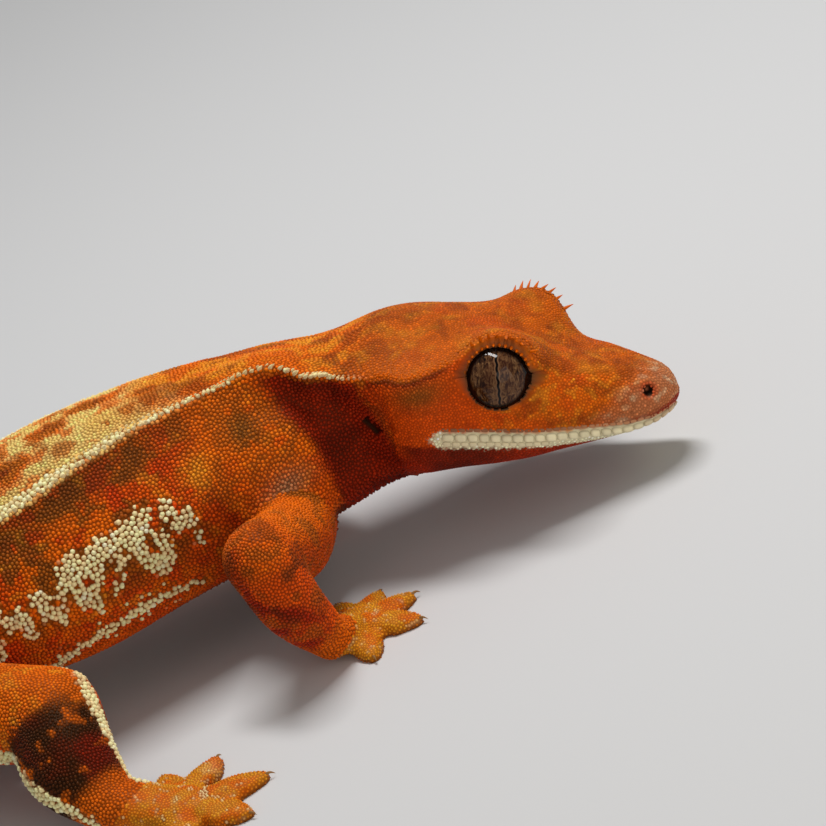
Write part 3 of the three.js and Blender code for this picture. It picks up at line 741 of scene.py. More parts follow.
def pale_marks(s, a, right, fine, speck):
    """The flank's blotches, the row at the belly's edge with stray scales, and the crests, from 0 to 1."""
    further_back = np.where(right, 0, 2.6)
    blotches = blotch_mask(s - further_back, a, 0.5 * (fine - 0.5)) * (s > 50)
    gap = np.abs(a - ventral_row(s)) * ROUND_MM
    row = (1 - smooth(0.3, 0.52, gap + 0.3 * (speck - 0.5))) * smooth(52.5, 55.5, s)
    row = row * (1 - smooth(HIP - 6, HIP, s))
    strays = (1 - smooth(1.2, 2.6, gap)) * smooth(0.66, 0.76, speck)
    strays = strays * smooth(54, 60, s) * (1 - smooth(HIP - 8, HIP - 2, s))
    crest = smooth(-0.05, 0, a - 0.99 + 0.08 * smooth(52, 66, s)) * (1 - smooth(1.02, 1.07, a))
    crest = crest * smooth(29, 34, s) * (1 - smooth(HIP, HIP + 6, s))
    return np.maximum.reduce([blotches, row, strays * 0.8, crest])


def flank_colours(points, s, a, large, fine):
    cells, streaks = layers(points, 1.7, 21), layers(points, 1.7, 25)
    above_blotches = 1 - 0.75 * smooth(2.1, 2.5, a)
    under_crest = smooth(1.04, 1.1, a) * (1 - smooth(1.16, 1.5, a + 0.5 * (cells - 0.5)))
    shoulder = bump(s, 45, 6.5) * (1 - smooth(2.5, 3.0, a))
    return painted(
        RED_ORANGE,
        (ORANGE, smooth(0.36, 0.6, large)),
        (RED, smooth(0.5, 0.64, streaks) * 0.7),
        (OLIVE, smooth(0.49, 0.55, cells) * 0.75 * above_blotches),
        (DARK_OLIVE, smooth(0.6, 0.7, cells) * 0.4 * above_blotches),
        (YELLOW, smooth(0.6, 0.72, layers(points, 1.3, 29)) * 0.45),
        # painted shadow: a darker olive band under the crest
        (DARK_OLIVE, under_crest * smooth(44, 52, s) * 0.6),
        (RED_ORANGE, smooth(2.25, 2.9, a + 0.5 * (large - 0.5)) * 0.6),
        (ORANGE, shoulder * 0.7),
        (YELLOW, bump(s, 50.8, 1.6) * bump(a, 1.71, 0.17) * smooth(0.35, 0.6, fine) * 0.8),
        (GREY_BROWN, bump(s, 43.2, 2.4) * bump(a, 2.38, 0.17) * 0.85),
        (OLIVE, bump(s, 44.5, 2.0) * bump(a, 1.55, 0.3) * smooth(0.4, 0.6, cells) * 0.9),
        (DARK_RED, bump(s, 50.0 - 3 * (a - 2), 0.7) * bump(a, 2.35, 0.35) * 0.75),
    )


def back_colours(points, s, side_v, large, fine):
    """The back between the crests: orange in front, pale with brown patches behind."""
    front = painted(
        ORANGE,
        (YELLOW, smooth(0.4, 0.7, fine) * 0.7),
        (BROWN, smooth(0.5, 0.62, layers(points, 2.6, 91)) * 0.6),
    )
    rear = painted(
        PALE_YELLOW,
        (BACK_CREAM, smooth(0.3, 0.6, large)),
        (ORANGE, smooth(0.49, 0.6, layers(points, 1.7, 93)) * 0.75),
        (TAN, smooth(0.56, 0.66, layers(points, 2.4, 95)) * 0.8),
    )
    back = mix(front, rear, smooth(48, 58, s + 6 * (large - 0.5)))
    patch = mix(TAN, BROWN, smooth(0.4, 0.65, fine))
    for bs, bv, along, across in BROWN_PATCHES:
        gap = np.hypot((s - bs) / along, (side_v - bv) * 7.5 / across) + 1.5 * (fine - 0.5)
        back = painted(
            back,
            (ORANGE, (1 - smooth(0.9, 1.5, gap)) * 0.8),
            (patch, (1 - smooth(0.7, 1.0, gap)) * 0.95),
        )
    ridge = bump(side_v + 0.25 * np.sin(s * 0.55), 0, 0.07)
    ridge = ridge * smooth(50, 56, s) * (1 - smooth(HIP, HIP + 8, s))
    band = smooth(0.74, 0.86, np.abs(side_v) + 0.35 * (fine - 0.5)) * smooth(47, 60, s)
    return painted(back, (TAN, ridge * smooth(0.35, 0.6, fine) * 0.8), (BACK_CREAM, band * 0.7))


def trunk_colours(points, _, s, v):
    """Colour of each point of the head, trunk and tail, and how pale and raised its scale is."""
    right = v < 4
    a = np.minimum(v, 8 - v)
    large, fine, speck = layers(points, 5.0, 3), layers(points, 1.6, 7), noise(points, 0.55, 12)
    tail = painted(
        ORANGE,
        (RED_ORANGE, large),
        (PALE_YELLOW, smooth(0.5, 0.7, fine) * (1 - smooth(0.6, 1.4, a))),
        (BROWN, smooth(0.55, 0.7, layers(points, 7.0, 33)) * 0.75),
    )
    neck_end = np.where(right, 40.9 - 1.8 * smooth(1.3, 2.2, a) - 0.3 * (a - 1.3), 40.0)
    neck = (1 - smooth(-0.8, 0.8, s - neck_end)) * smooth(28.5, 31.5, s) * smooth(1.05, 1.15, a)
    colour = painted(
        back_colours(points, s, np.where(right, v, v - 8), large, fine),
        (flank_colours(points, s, a, large, fine), smooth(1.02, 1.09, a + 0.05 * (fine - 0.5))),
        # the belly, painted dark as painted shade of the underside
        (mix(SHADED_BELLY, DARK_RED, smooth(0.4, 0.7, large) * 0.6), smooth(3.05, 3.4, a)),
        (tail, smooth(HIP + 2, HIP + 12, s)),
        (mix(DARK_RED, DEEP_RED, smooth(0.45, 0.75, large) * 0.7), neck * 0.97),
        (head_colours(points, s, a, large, fine, speck), 1 - smooth(28.0, 31.0, s)),
    )
    pale = pale_marks(s, a, right, fine, speck)
    return mix(colour, CREAM, smooth(0.4, 0.6, pale)), pale


def head_colours(points, s, a, large, fine, speck):
    place = to_head(points)
    x, z = place[:, 0], place[:, 2]
    streak, grain = layers(points, 2.2, 41), noise(points, 0.5, 45)
    temple = mix(ORANGE, YELLOW, smooth(0.45, 0.75, fine) * 0.45)
    top = painted(
        ORANGE,
        (BROWN, smooth(0.46, 0.66, streak) * 0.5),
        (YELLOW, smooth(0.4, 0.75, fine) * 0.45),
        (BROWN, smooth(0.55, 0.85, grain) * 0.35),
        (RED_ORANGE, smooth(0.45, 0.65, large) * 0.5),
        (temple, bump(a, 0.92, 0.25) * (x < 3) * 0.85),
    )
    cheek = painted(
        RED_ORANGE,
        (DARK_RED, smooth(0.45, 0.75, fine) * 0.35),
        (OLIVE, bump(s, 23.2, 2.4) * bump(a, 1.42, 0.26) * 0.8),
        (DARK_RED, smooth(26.5, 30, s) * 0.6),
        # painted shadow: a thin dark line under the temple's crest
        (DEEP_RED * 0.7, bump(a, 1.11, 0.06) * smooth(19.5, 21.5, s)),
    )
    lore = painted(
        ORANGE,
        (RED_ORANGE, smooth(0.4, 0.7, fine) * 0.7),
        (BROWN, smooth(0.52, 0.66, streak) * 0.5),
        (YELLOW, smooth(0.5, 0.75, speck) * 0.45),
        (BROWN, smooth(0.55, 0.85, grain) * 0.4),
    )
    snout = mix(SNOUT_PINK, LIP_WHITE, smooth(0.5, 0.8, speck) * 0.35)
    to_nostril = np.linalg.norm(place * (1, 0, 1) + np.abs(place) * (0, 1, 0) - NOSTRIL, axis=1)
    mouth = np.where(x > MOUTH_CORNER, mouth_height(x), mouth_height(MOUTH_CORNER))
    below = smooth(1.3, 1.7, mouth - z) * smooth(-12, -8, x)
    corner = np.hypot(np.minimum(x - MOUTH_CORNER, 0) * 0.8, mouth - z - 0.75)
    return painted(
        top * 0.76,
        (mix(cheek, lore, smooth(-3, 3, x)), smooth(0.98, 1.16, a)),
        (BROWN, bump(z, -1.3, 0.8) * smooth(2, 6, x) * 0.5),
        (snout, smooth(8.8, 13.8, x + 3 * (fine - 0.5) - 0.9 * z) * 0.85),
        (RED, (1 - smooth(0.6, 1.2, to_nostril)) * 0.5),
        # the underside of the head: dark red, partly its own colour and partly painted shade
        (mix(DARK_RED, DEEP_RED, smooth(0.35, 0.7, large)), np.maximum(below, smooth(2.3, 2.7, a)) * 0.96),
        (LIP_WHITE, 1 - smooth(0.75, 0.95, corner + 0.25 * (speck - 0.5))),
    )


# The pale edges of each hind leg, as places along the leg and round it: the front edge, then the rear
LEG_EDGES = (
    ((0.93, 0.08), (1.0, 0.06), (1.3, 0.04), (2.0, 0.03)),
    ((0.4, 0.60), (1.0, 0.56), (1.3, 0.48), (2.0, 0.46)),
)


def limb_colours(points, region, along, around):
    """Colours of the limbs. Along is 0 at the root, 1 at the elbow or knee, and 2 at the wrist or ankle."""
    large, fine, speck = layers(points, 4.0, 51), layers(points, 1.5, 55), noise(points, 0.6, 58)
    top = smooth(-0.3, 0.7, np.sin(around * 2 * math.pi))
    upper_arm = painted(DARK_RED, (ORANGE, 0.35 + 0.75 * top), (OLIVE, smooth(0.55, 0.7, large) * 0.5))
    forearm = mix(DARK_RED, RED_ORANGE, smooth(0.35, 0.65, fine + 0.3 * top))
    arm = painted(
        upper_arm,
        (forearm, smooth(0.85, 1.2, along)),
        (OLIVE, smooth(0.52, 0.62, fine) * 0.45),
        (DARK_OLIVE, smooth(0.5, 0.62, layers(points, 2.6, 61)) * bump(along, 1.25, 0.4) * 0.7),
        (ORANGE, smooth(1.75, 1.95, along) * 0.8),
    )
    thigh = painted(
        RED_ORANGE,
        (ORANGE, top),
        (DARK_OLIVE, smooth(0.52, 0.66, large) * 0.5),
        (YELLOW, smooth(0.55, 0.7, fine) * 0.5),
    )
    shin = painted(
        DARK_OLIVE * 0.4,
        (DARK_RED * 0.45, smooth(0.4, 0.7, large)),
        (ORANGE, smooth(0.58, 0.7, layers(points, 1.9, 63)) * 0.75),
    )
    leg = painted(thigh, (shin, smooth(0.98, 1.25, along)), (ORANGE, smooth(1.8, 1.95, along) * 0.8))
    is_arm = region <= 1
    on_left = region % 2 == 1
    turn = np.where(on_left, np.mod(0.5 - around, 1), around)
    pale = np.zeros(len(points))
    for edge in LEG_EDGES:
        middle = np.interp(along, *zip(*edge))
        gap = np.abs(np.mod(turn - middle + 0.5, 1) - 0.5) * 24
        reach = smooth(edge[0][0], edge[0][0] + 0.1, along)
        pale = np.maximum(pale, reach * (1 - smooth(0.75, 1.05, gap + 0.5 * (speck - 0.5))))
    pale = pale * ~is_arm
    return mix(np.where(is_arm[:, None], arm, leg), CREAM, pale), pale


def foot_colours(points, region, along, _):
    fine, speck = layers(points, 1.4, 71), noise(points, 0.5, 74)
    toeward = np.zeros(len(points))
    for k, limb in enumerate(LIMBS.values()):
        mine, palm = region == PALM + k, np.array(limb["palm"])
        toeward[mine] = (points[mine, :2] - palm) @ unit(palm - limb["joints"][-1][:2])
    patch = smooth(0.45, 0.54, layers(points, 1.9, 77)) * smooth(0.2, 1.2, toeward)
    patch = patch * (1 - smooth(0.3, 0.5, along))
    on_foot = np.maximum(patch * 0.8, smooth(0.7, 0.8, speck) * 0.5)
    pale = np.where(region <= PALM + 1, smooth(0.72, 0.8, speck) * 0.3, on_foot)
    sole = 1 - smooth(0.15, 0.5, points[:, 2])
    pale = pale * (1 - sole)
    coats = (YELLOW * 1.1, smooth(0.3, 0.6, fine) * 0.85), (TAN, sole), (CREAM, pale)
    return painted(ORANGE * 1.3, *coats), pale


def markings_and_shade(points, place):
    """Colour and paleness of points, from their places on the body."""
    region = place[0]
    colour = np.zeros((len(points), 3))
    pale = np.zeros(len(points))
    for chosen, paint in (
        (region == TRUNK, trunk_colours),
        (region < TRUNK, limb_colours),
        (region > TRUNK, foot_colours),
    ):
        colour[chosen], pale[chosen] = paint(points[chosen], *(column[chosen] for column in place))
    return colour, pale


# Making meshes


def model_shift():
    """From the pose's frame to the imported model's, in metres, read from where the right eye is."""
    low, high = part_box("eye_right")
    return np.array((low + high) / 2) - eye_frame(-1)[0] * MM


SHIFT = model_shift()


def add_piece(name, points, faces, material, colours=None, uvs=None):
    mesh = bpy.data.meshes.new(name)
    faces = np.asarray(faces)
    corners = faces.shape[1]
    mesh.vertices.add(len(points))
    mesh.vertices.foreach_set("co", (points * MM + SHIFT).ravel())
    mesh.loops.add(faces.size)
    mesh.loops.foreach_set("vertex_index", faces.ravel())
    mesh.polygons.add(len(faces))
    mesh.polygons.foreach_set("loop_start", np.arange(len(faces)) * corners)
    mesh.update(calc_edges=True)
    mesh.validate()
    mesh.shade_smooth()
    if colours is not None:
        paint = mesh.color_attributes.new("marking_and_shade", "FLOAT_COLOR", "POINT")
        paint.data.foreach_set("color", np.concatenate([colours, np.ones((len(colours), 1))], 1).ravel())
    if uvs is not None:
        loops = np.empty(len(mesh.loops), int)
        mesh.loops.foreach_get("vertex_index", loops)
        layer = mesh.uv_layers.new(name="OFBake")
        layer.data.foreach_set("uv", uvs[loops].ravel())
    mesh.materials.append(material)
    obj = bpy.data.objects.new(name, mesh)
    bpy.context.scene.collection.objects.link(obj)
    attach(obj, "root")
    return obj


def skin_material(name, roughness, grain):
    """Painted by each point's colour, which holds its pattern and painted shade, with fine mottling, a soft
    sheen and a grain of a size in millimetres.
    """
    material = bpy.data.materials.new(name)
    material.use_nodes = True
    nodes, links = material.node_tree.nodes, material.node_tree.links
    shader = nodes["Principled BSDF"]
    shader.inputs["Roughness"].default_value = roughness
    shader.inputs["Specular IOR Level"].default_value = 0.2
    shader.inputs["Specular Tint"].default_value = (1.0, 0.6, 0.32, 1)
    paint = nodes.new("ShaderNodeAttribute")
    paint.attribute_name = "marking_and_shade"
    place = nodes.new("ShaderNodeTexCoord")
    mottle = nodes.new("ShaderNodeTexNoise")
    mottle.inputs["Scale"].default_value = 1 / (0.9 * MM)
    mottle.inputs["Detail"].default_value = 3
    ramp = nodes.new("ShaderNodeMapRange")
    ramp.inputs["To Min"].default_value = 0.82
    ramp.inputs["To Max"].default_value = 1.18
    shade = nodes.new("ShaderNodeVectorMath")
    shade.operation = "SCALE"
    links.new(place.outputs["Object"], mottle.inputs["Vector"])
    links.new(mottle.outputs["Fac"], ramp.inputs["Value"])
    links.new(paint.outputs["Color"], shade.inputs[0])
    links.new(ramp.outputs["Result"], shade.inputs["Scale"])
    links.new(shade.outputs["Vector"], shader.inputs["Base Color"])
    rough = nodes.new("ShaderNodeTexNoise")
    rough.inputs["Scale"].default_value = 1 / (grain * MM)
    bumps = nodes.new("ShaderNodeBump")
    bumps.inputs["Strength"].default_value = 0.25
    bumps.inputs["Distance"].default_value = 0.06 * MM
    links.new(place.outputs["Object"], rough.inputs["Vector"])
    links.new(rough.outputs["Fac"], bumps.inputs["Height"])
    links.new(bumps.outputs["Normal"], shader.inputs["Normal"])
    return material


SKIN = skin_material("skin", 0.55, 0.12)
SCALE = skin_material("scale", 0.42, 0.1)
HORN = skin_material("horn", 0.3, 0.15)


# Scales


def stamp(template, faces, origins, normals, ahead, wide, high):
    """Copies of a small form, each standing on its origin along its normal. Returns points and faces."""
    across = unit(np.cross(normals, ahead))
    ahead = np.cross(across, normals)
    local = template[None] * np.stack([wide, wide, high], 1)[:, None]
    points = origins[:, None] + local[..., :1] * ahead[:, None] + local[..., 1:2] * across[:, None]
    points = points + local[..., 2:] * normals[:, None]
    offsets = np.arange(len(origins)) * len(template)
    return points.reshape(-1, 3), (faces[None] + offsets[:, None, None]).reshape(-1, 3)


def small_form(sides, levels, tip):
    """A scale from its sunk foot to its tip. Levels are (radius, height, lean, share of the tip's colour)."""
    turn = np.arange(sides) * 2 * math.pi / sides
    points = []
    for radius, height, lean, _ in levels:
        ring = radius * np.cos(turn) + lean, radius * np.sin(turn), np.full(sides, height)
        points.append(np.stack(ring, 1))
    i = np.arange(sides)
    j = (i + 1) % sides
    faces = []
    for k in range(len(levels) - 1):
        low, high = k * sides, (k + 1) * sides
        faces += [np.stack([low + i, low + j, high + i], 1), np.stack([low + j, high + j, high + i], 1)]
    last = (len(levels) - 1) * sides
    faces.append(np.stack([last + i, last + j, np.full(sides, last + sides)], 1))
    shade = np.append(np.repeat([share for *_, share in levels], sides), 1.0)
    return np.concatenate([*points, [tip]]), np.concatenate(faces), shade


DOME_TIP = (0, 0, 0.95)
BEAD = small_form(6, ((1.0, -0.35, 0, 0.0), (0.74, 0.55, 0, 0.8)), DOME_TIP)
GRAIN = small_form(6, ((1.0, -0.2, 0, 0.0),), DOME_TIP)
HEAD_GRAIN = small_form(5, ((1.0, -0.2, 0, 0.0), (0.72, 0.55, 0, 0.75)), DOME_TIP)
THORN = small_form(
    7,
    ((1.0, -0.35, 0, 0.2), (0.92, 0.15, 0, 0.8), (0.5, 0.6, 0.12, 1.0), (0.18, 0.9, 0.3, 1.0)),
    (0.38, 0, 1.0),
)
# Every other piece has beads
GRAIN_PIECES = {f"scales_{name}": GRAIN for name in ("hands", "feet", "belly", "tail")}
GRAIN_PIECES["scales_head"] = HEAD_GRAIN
UV_PATCH = 0.0015  # half the width of a scale's place on the unwrap


def add_stamped(name, form, places, normals, ahead, sizes, foot, tip, uv, patch=UV_PATCH):
    """A piece of many copies of a small form, each in its own colours from its foot to its tip."""
    template, faces, shade = form
    points, faces = stamp(template, faces, places, normals, ahead, *sizes)
    colours = foot[:, None] * (1 - shade)[None, :, None] + tip[:, None] * shade[None, :, None]
    uvs = uv[:, None] + template[None, :, :2] * patch
    add_piece(name, points, faces, SCALE, colours.reshape(-1, 3), uvs.reshape(-1, 2))


def scatter(obj, spacing, attribute, seed):
    """Points spread evenly over the faces where an attribute is true, with the surface's normals."""
    group = bpy.data.node_groups.new("scatter", "GeometryNodeTree")
    group.interface.new_socket("Geometry", in_out="INPUT", socket_type="NodeSocketGeometry")
    group.interface.new_socket("Geometry", in_out="OUTPUT", socket_type="NodeSocketGeometry")
    nodes, links = group.nodes, group.links
    source, sink = nodes.new("NodeGroupInput"), nodes.new("NodeGroupOutput")
    chosen = nodes.new("GeometryNodeInputNamedAttribute")
    chosen.data_type = "BOOLEAN"
    chosen.inputs["Name"].default_value = attribute
    spread = nodes.new("GeometryNodeDistributePointsOnFaces")
    spread.distribute_method = "POISSON"
    spread.inputs["Distance Min"].default_value = spacing
    spread.inputs["Density Max"].default_value = 4.0 / spacing**2
    spread.inputs["Seed"].default_value = seed
    keep = nodes.new("GeometryNodeStoreNamedAttribute")
    keep.data_type = "FLOAT_VECTOR"
    keep.domain = "POINT"
    keep.inputs["Name"].default_value = "facing"
    vertices = nodes.new("GeometryNodePointsToVertices")
    links.new(source.outputs[0], spread.inputs["Mesh"])
    links.new(chosen.outputs["Attribute"], spread.inputs["Selection"])
    links.new(spread.outputs["Points"], keep.inputs["Geometry"])
    links.new(spread.outputs["Normal"], keep.inputs["Value"])
    links.new(keep.outputs["Geometry"], vertices.inputs["Points"])
    links.new(vertices.outputs["Mesh"], sink.inputs[0])
    modifier = obj.modifiers.new("scatter", "NODES")
    modifier.node_group = group
    evaluated = obj.evaluated_get(bpy.context.evaluated_depsgraph_get())
    mesh = evaluated.to_mesh()
    points = np.empty(len(mesh.vertices) * 3)
    mesh.vertices.foreach_get("co", points)
    facing = np.empty(len(mesh.vertices) * 3)
    mesh.attributes["facing"].data.foreach_get("vector", facing)
    evaluated.to_mesh_clear()
    obj.modifiers.remove(modifier)
    bpy.data.node_groups.remove(group)
    return points.reshape(-1, 3), facing.reshape(-1, 3)


def neighbours(points, count):
    """Numbers of the nearest other points to each point, and how far they are."""
    tree = KDTree(len(points))
    for k, p in enumerate(points):
        tree.insert(p, k)
    tree.balance()
    found = np.array([[near[1:] for near in tree.find_n(p, count + 1)[1:]] for p in points])
    return found[..., 0].astype(int), found[..., 1]


def even_out(points, facing, surface, rounds):
    """Pushes scattered points apart along the surface. Returns them and how far apart they are."""
    for _ in range(rounds):
        near, gap = neighbours(points, 6)
        away = points[:, None] - points[near]
        wanted = gap.mean(1, keepdims=True) * 1.15
        push = (unit(away) * np.maximum(0, wanted - gap)[..., None]).mean(1)
        push -= facing * (push * facing).sum(1, keepdims=True)
        points = points + 0.9 * push
        hits = [surface.find_nearest(p) for p in points]
        points = np.array([h[0] for h in hits])
        facing = np.array([h[1] for h in hits])
    _, gap = neighbours(points, 5)
    return points, gap.mean(1)


class Surface:
    """The finished skin, for placing things on it."""

    def __init__(self, points, faces):
        self.points, self.faces = points, faces
        self.tree = BVHTree.FromPolygons(points.tolist(), faces.tolist())
        a, b, c = (points[faces[:, k]] for k in range(3))
        normals = np.cross(b - a, c - a)
        self.normals = np.zeros_like(points)
        for k in range(3):
            for axis in range(3):
                self.normals[:, axis] += np.bincount(faces[:, k], normals[:, axis], len(points))
        self.normals = unit(self.normals)

    def nearest(self, points):
        """Nearest points of the skin and their smooth normals."""
        places, normals = [], []
        for p in np.atleast_2d(points):
            place, _, face, _ = self.tree.find_nearest(p)
            places.append(place)
            normals.append(self.normals[self.faces[face]].mean(0))
        return np.array(places), unit(np.array(normals))

    def hit(self, origins, directions):
        """Where rays meet the skin, with normals. A ray that misses takes the nearest point to its start."""
        places, normals = [], []
        for o, d in zip(origins, directions):
            place, _, face, _ = self.tree.ray_cast(Vector(o), Vector(d))
            if place is None:
                place, _, face, _ = self.tree.find_nearest(Vector(o))
            places.append(place)
            normals.append(self.normals[self.faces[face]].mean(0))
        return np.array(places), unit(np.array(normals))


SKIN_INSET = 0.12  # the skin lies this far inside the solids, under its scales
SKIN_NET = 0.42
# Painted shade: grey-brown behind each eye, and near black in the nostrils' pits and the ears' slits
LID_SHADOW, NOSTRIL_SHADE, EAR_SHADE = linear(96, 70, 48), linear(12, 4, 3), linear(14, 3, 2)


def make_skin():
    points, quads = voxel_skin(skin_parts(), SKIN_NET)
    points = smooth_skin(points, quads)
    points, faces = refine(points, quads)
    points = points - SKIN_INSET * Surface(points, faces).normals
    return Surface(carve(points), faces)


def dress_skin(surface):
    place = locate(surface.points)
    colours, pale = markings_and_shade(surface.points, place)
    # The skin between the scales is darkened: partly its own darker colour, partly painted shade between them
    colours = mix(colours * (0.5 + 0.35 * headness(place))[:, None], TAN * 0.6, smooth(0.2, 0.5, pale))
    for side in EYE_SIDES.values():
        _, far, away, turn = round_eye(surface.points, side)
        behind_eye = (far < 3.5) & (away < lid_angle(turn) + 0.02)
        colours[behind_eye] = LID_SHADOW
        colours = painted(
            colours,
            # painted shade in each nostril's pit
            (NOSTRIL_SHADE, 1 - smooth(0.5, 0.72, from_nostril(surface.points, side))),
            # painted shade in the fold between the upper lid and the brow
            (DEEP_RED, lid_groove(surface.points, side) * 0.6),
            # painted shade in each ear's slit
            (EAR_SHADE, ear_mask(surface.points, side)),
        )
    skin = add_piece("skin", surface.points, surface.faces, SKIN, colours, unwrap(*place))
    flesh = [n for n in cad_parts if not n.startswith("eye")]
    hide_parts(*flesh)
    return skin


def headness(place):
    """1 on the head, falling to 0 over the neck."""
    return (place[0] == TRUNK) * (1 - smooth(25, 34, place[1]))


def ear_mask(points, side):
    along, across = from_ear(points, side)
    return (1 - smooth(0.35, 0.6, across * 0.6)) * (1 - smooth(0.9, 1.2, np.abs(along))) * (across < 1.4)


def scale_field(surface):
    """Places of the scales over the whole skin, and how far apart they are."""
    mesh = bpy.data.meshes.new("field")
    mesh.from_pydata(surface.points.tolist(), [], surface.faces.tolist())
    obj = bpy.data.objects.new("field", mesh)
    bpy.context.scene.collection.objects.link(obj)
    centres = surface.points[surface.faces].mean(1)
    region, along, around = locate(centres)
    a = np.minimum(around, 8 - around)
    head = (region == TRUNK) & (along < 29)
    foot = region > TRUNK
    belly = (region == TRUNK) & (a > 3.35) & (along > 30)
    sole = centres[:, 2] < 0.3
    bare = sole | eye_region(centres) | lip_region(centres)
    _, pale = markings_and_shade(centres, (region, along, around))
    large = (pale > 0.5) & ~(head | foot | belly | bare)
    nape = head & (along > 26)
    kinds = {
        "fine": (0.235, ((head & ~nape) | foot) & ~bare),
        "nape": (0.265, nape & ~bare),
        "limb": (0.27, (region < TRUNK) & ~(large | bare)),
        "plain": (0.3, (region == TRUNK) & ~(head | belly | large | bare)),
        "large": (0.37, large),
        "broad": (0.5, belly & ~(large | bare)),
    }
    places, gaps = [], []
    for seed, (kind, (spacing, chosen)) in enumerate(kinds.items()):
        flag = mesh.attributes.new(kind, "BOOLEAN", "FACE")
        flag.data.foreach_set("value", chosen)
        points, facing = scatter(obj, spacing, kind, seed)
        points, gap = even_out(points, facing, surface.tree, 3)
        places.append(points)
        gaps.append(np.minimum(gap, spacing * 1.5))
    bpy.data.objects.remove(obj)
    return np.concatenate(places), np.concatenate(gaps)


def eye_region(points):
    """Where no scale stands: the eyes, the folds of their lids, and the nostrils."""
    inside = np.zeros(len(points), bool)
    for side in EYE_SIDES.values():
        _, far, away, turn = round_eye(points, side)
        inside |= (far < 4.6) & (away < lid_angle(turn) + 0.06)
        inside |= lid_groove(points, side) > 0.7
        inside |= from_nostril(points, side) < 0.6
    return inside


def lip_region(points):
    """Where the lips' plates stand, from below the rows of the lower lip to above the upper lip."""
    x, y, z = to_head(points).T
    gap = z - mouth_height(x)
    lowest = np.where(x < CHIN_END, -1.38, -0.95)
    return (x > MOUTH_CORNER + 0.1) & (gap > lowest) & (gap < 0.5) & (np.abs(y) > 0.2)


def add_scales(surface):
    points, spacing = scale_field(surface)
    place = locate(points)
    region, along, around = place
    _, facing = surface.nearest(points)
    colours, pale = markings_and_shade(points, place)
    keep = np.ones(len(points), bool)
    for side in EYE_SIDES.values():
        keep &= ear_mask(points, side) < 0.4
    grow = rng.uniform(0.92, 1.08, len(points))
    wide = spacing * 0.5 * grow * (1 + 0.22 * pale)
    head = (region == TRUNK) & (along < 29)
    low = headness(place)
    a = np.minimum(around, 8 - around)
    spiny = (region == TRUNK) * (1 - smooth(0.8, 0.95, a)) * smooth(36, 50, along)
    high = wide * (0.72 - 0.28 * low + 0.35 * spiny) * (1 + 0.5 * pale)
    tint = colours * np.exp(0.15 * rng.normal(0, 1, len(points)))[:, None]
    # Painted light and shade: each scale's tip is lightened and its foot darkened, partly the darker skin
    # between scales and partly painted shade
    crown = np.clip(tint * 1.28, 0, 1)
    shaded_valley = mix(tint * (0.42 + 0.2 * low)[:, None], TAN, 0.75 * pale)
    uv = unwrap(*place)
    ahead = rng.normal(size=points.shape)
    trunk = (region == TRUNK) & ~head & (along < HIP)
    upper = trunk & (a < 3.35)
    groups = {
        "scales_head": head,
        "scales_belly": trunk & (a >= 3.35),
        "scales_tail": (region == TRUNK) & (along >= HIP),
        "scales_hands": (region == PALM) | (region == PALM + 1),
        "scales_feet": (region == PALM + 2) | (region == PALM + 3),
    }
    cuts = (0, 46, 60, 74, HIP)
    for k, name in enumerate(("neck", "front", "middle", "rear")):
        part = upper & (along >= cuts[k]) & (along < cuts[k + 1])
        groups[f"scales_{name}_right"] = part & (around < 4)
        groups[f"scales_{name}_left"] = part & (around >= 4)
    for k, name in enumerate(LIMB_NAMES):
        groups[f"scales_{name}"] = region == k
    for name, chosen in groups.items():
        k = chosen & keep
        form, sizes = GRAIN_PIECES.get(name, BEAD), (wide[k], high[k])
        add_stamped(name, form, points[k], facing[k], ahead[k], sizes, shaded_valley[k], crown[k], uv[k])


def add_thorns(name, surface, s, v, sizes, colours, lean, spread):
    """Pointed scales at places along and round the trunk, leaning ahead by lean and outward by spread."""
    points = trunk_points(s, v)
    points, facing = surface.nearest(points)
    _, forward, left, _ = spine_frames(s)
    out = np.where(v < 4, -1.0, 1.0)[:, None] * left
    facing = unit(facing + 0.35 * out * spread + forward * lean[:, None])
    uv = unwrap(np.full(len(s), TRUNK), s, v)
    # Each spine is darker at its foot: painted shade where it meets the skin
    add_stamped(name, THORN, points, facing, forward, sizes, colours * 0.55, colours, uv)


# Rows of each crest: place round the body from the crest's edge, size, spacing and where the row starts
CREST_ROWS = ((0.0, 0.95, 0.6, 20.6), (-0.05, 0.62, 0.52, 20.8), (-0.09, 0.7, 0.56, 52))


def add_crests(surface):
    """The crests: rows of pale pointed scales from behind each eye to the hips, orange on the head."""
    for name, side in EYE_SIDES.items():
        s, v, wide, high, lean = [], [], [], [], []
        for offset, size, step, start in CREST_ROWS:
            for at in np.arange(start, HIP - 1, step):
                wave = rng.uniform(0.85, 1.15)
                neck = bump(at, 38, 7)
                body = smooth(46, 60, at)
                trunk = smooth(27, 33, at)
                reach = 0.2 + 0.14 * trunk + 0.36 * neck + 0.22 * body
                s.append(at + rng.uniform(-0.08, 0.08))
                v.append(mirror(1.0 + offset + rng.uniform(-0.012, 0.012), side))
                wide.append(0.26 * size * wave * (0.7 + 0.3 * trunk + 0.25 * body))
                high.append(reach * size * wave * (1 - 0.5 * smooth(HIP - 14, HIP, at)))
                lean.append(0.25 + 0.5 * neck)
        s, v, wide, high, lean = (np.array(column) for column in (s, v, wide, high, lean))
        colours = painted(ORANGE * 1.15, (CREAM, smooth(28, 33, s)), (PALE_YELLOW, bump(s, 44, 4) * 0.4))
        colours = np.clip(colours * rng.uniform(0.9, 1.08, len(s))[:, None], 0, 1)
        add_thorns(f"crest_{name}", surface, s, v, (wide, high), colours, lean, 1.0)


BROW_SPINES = {"count": 8, "from": 12.5, "to": 18.2, "size": (0.19, 1.0)}  # the size is half width and height


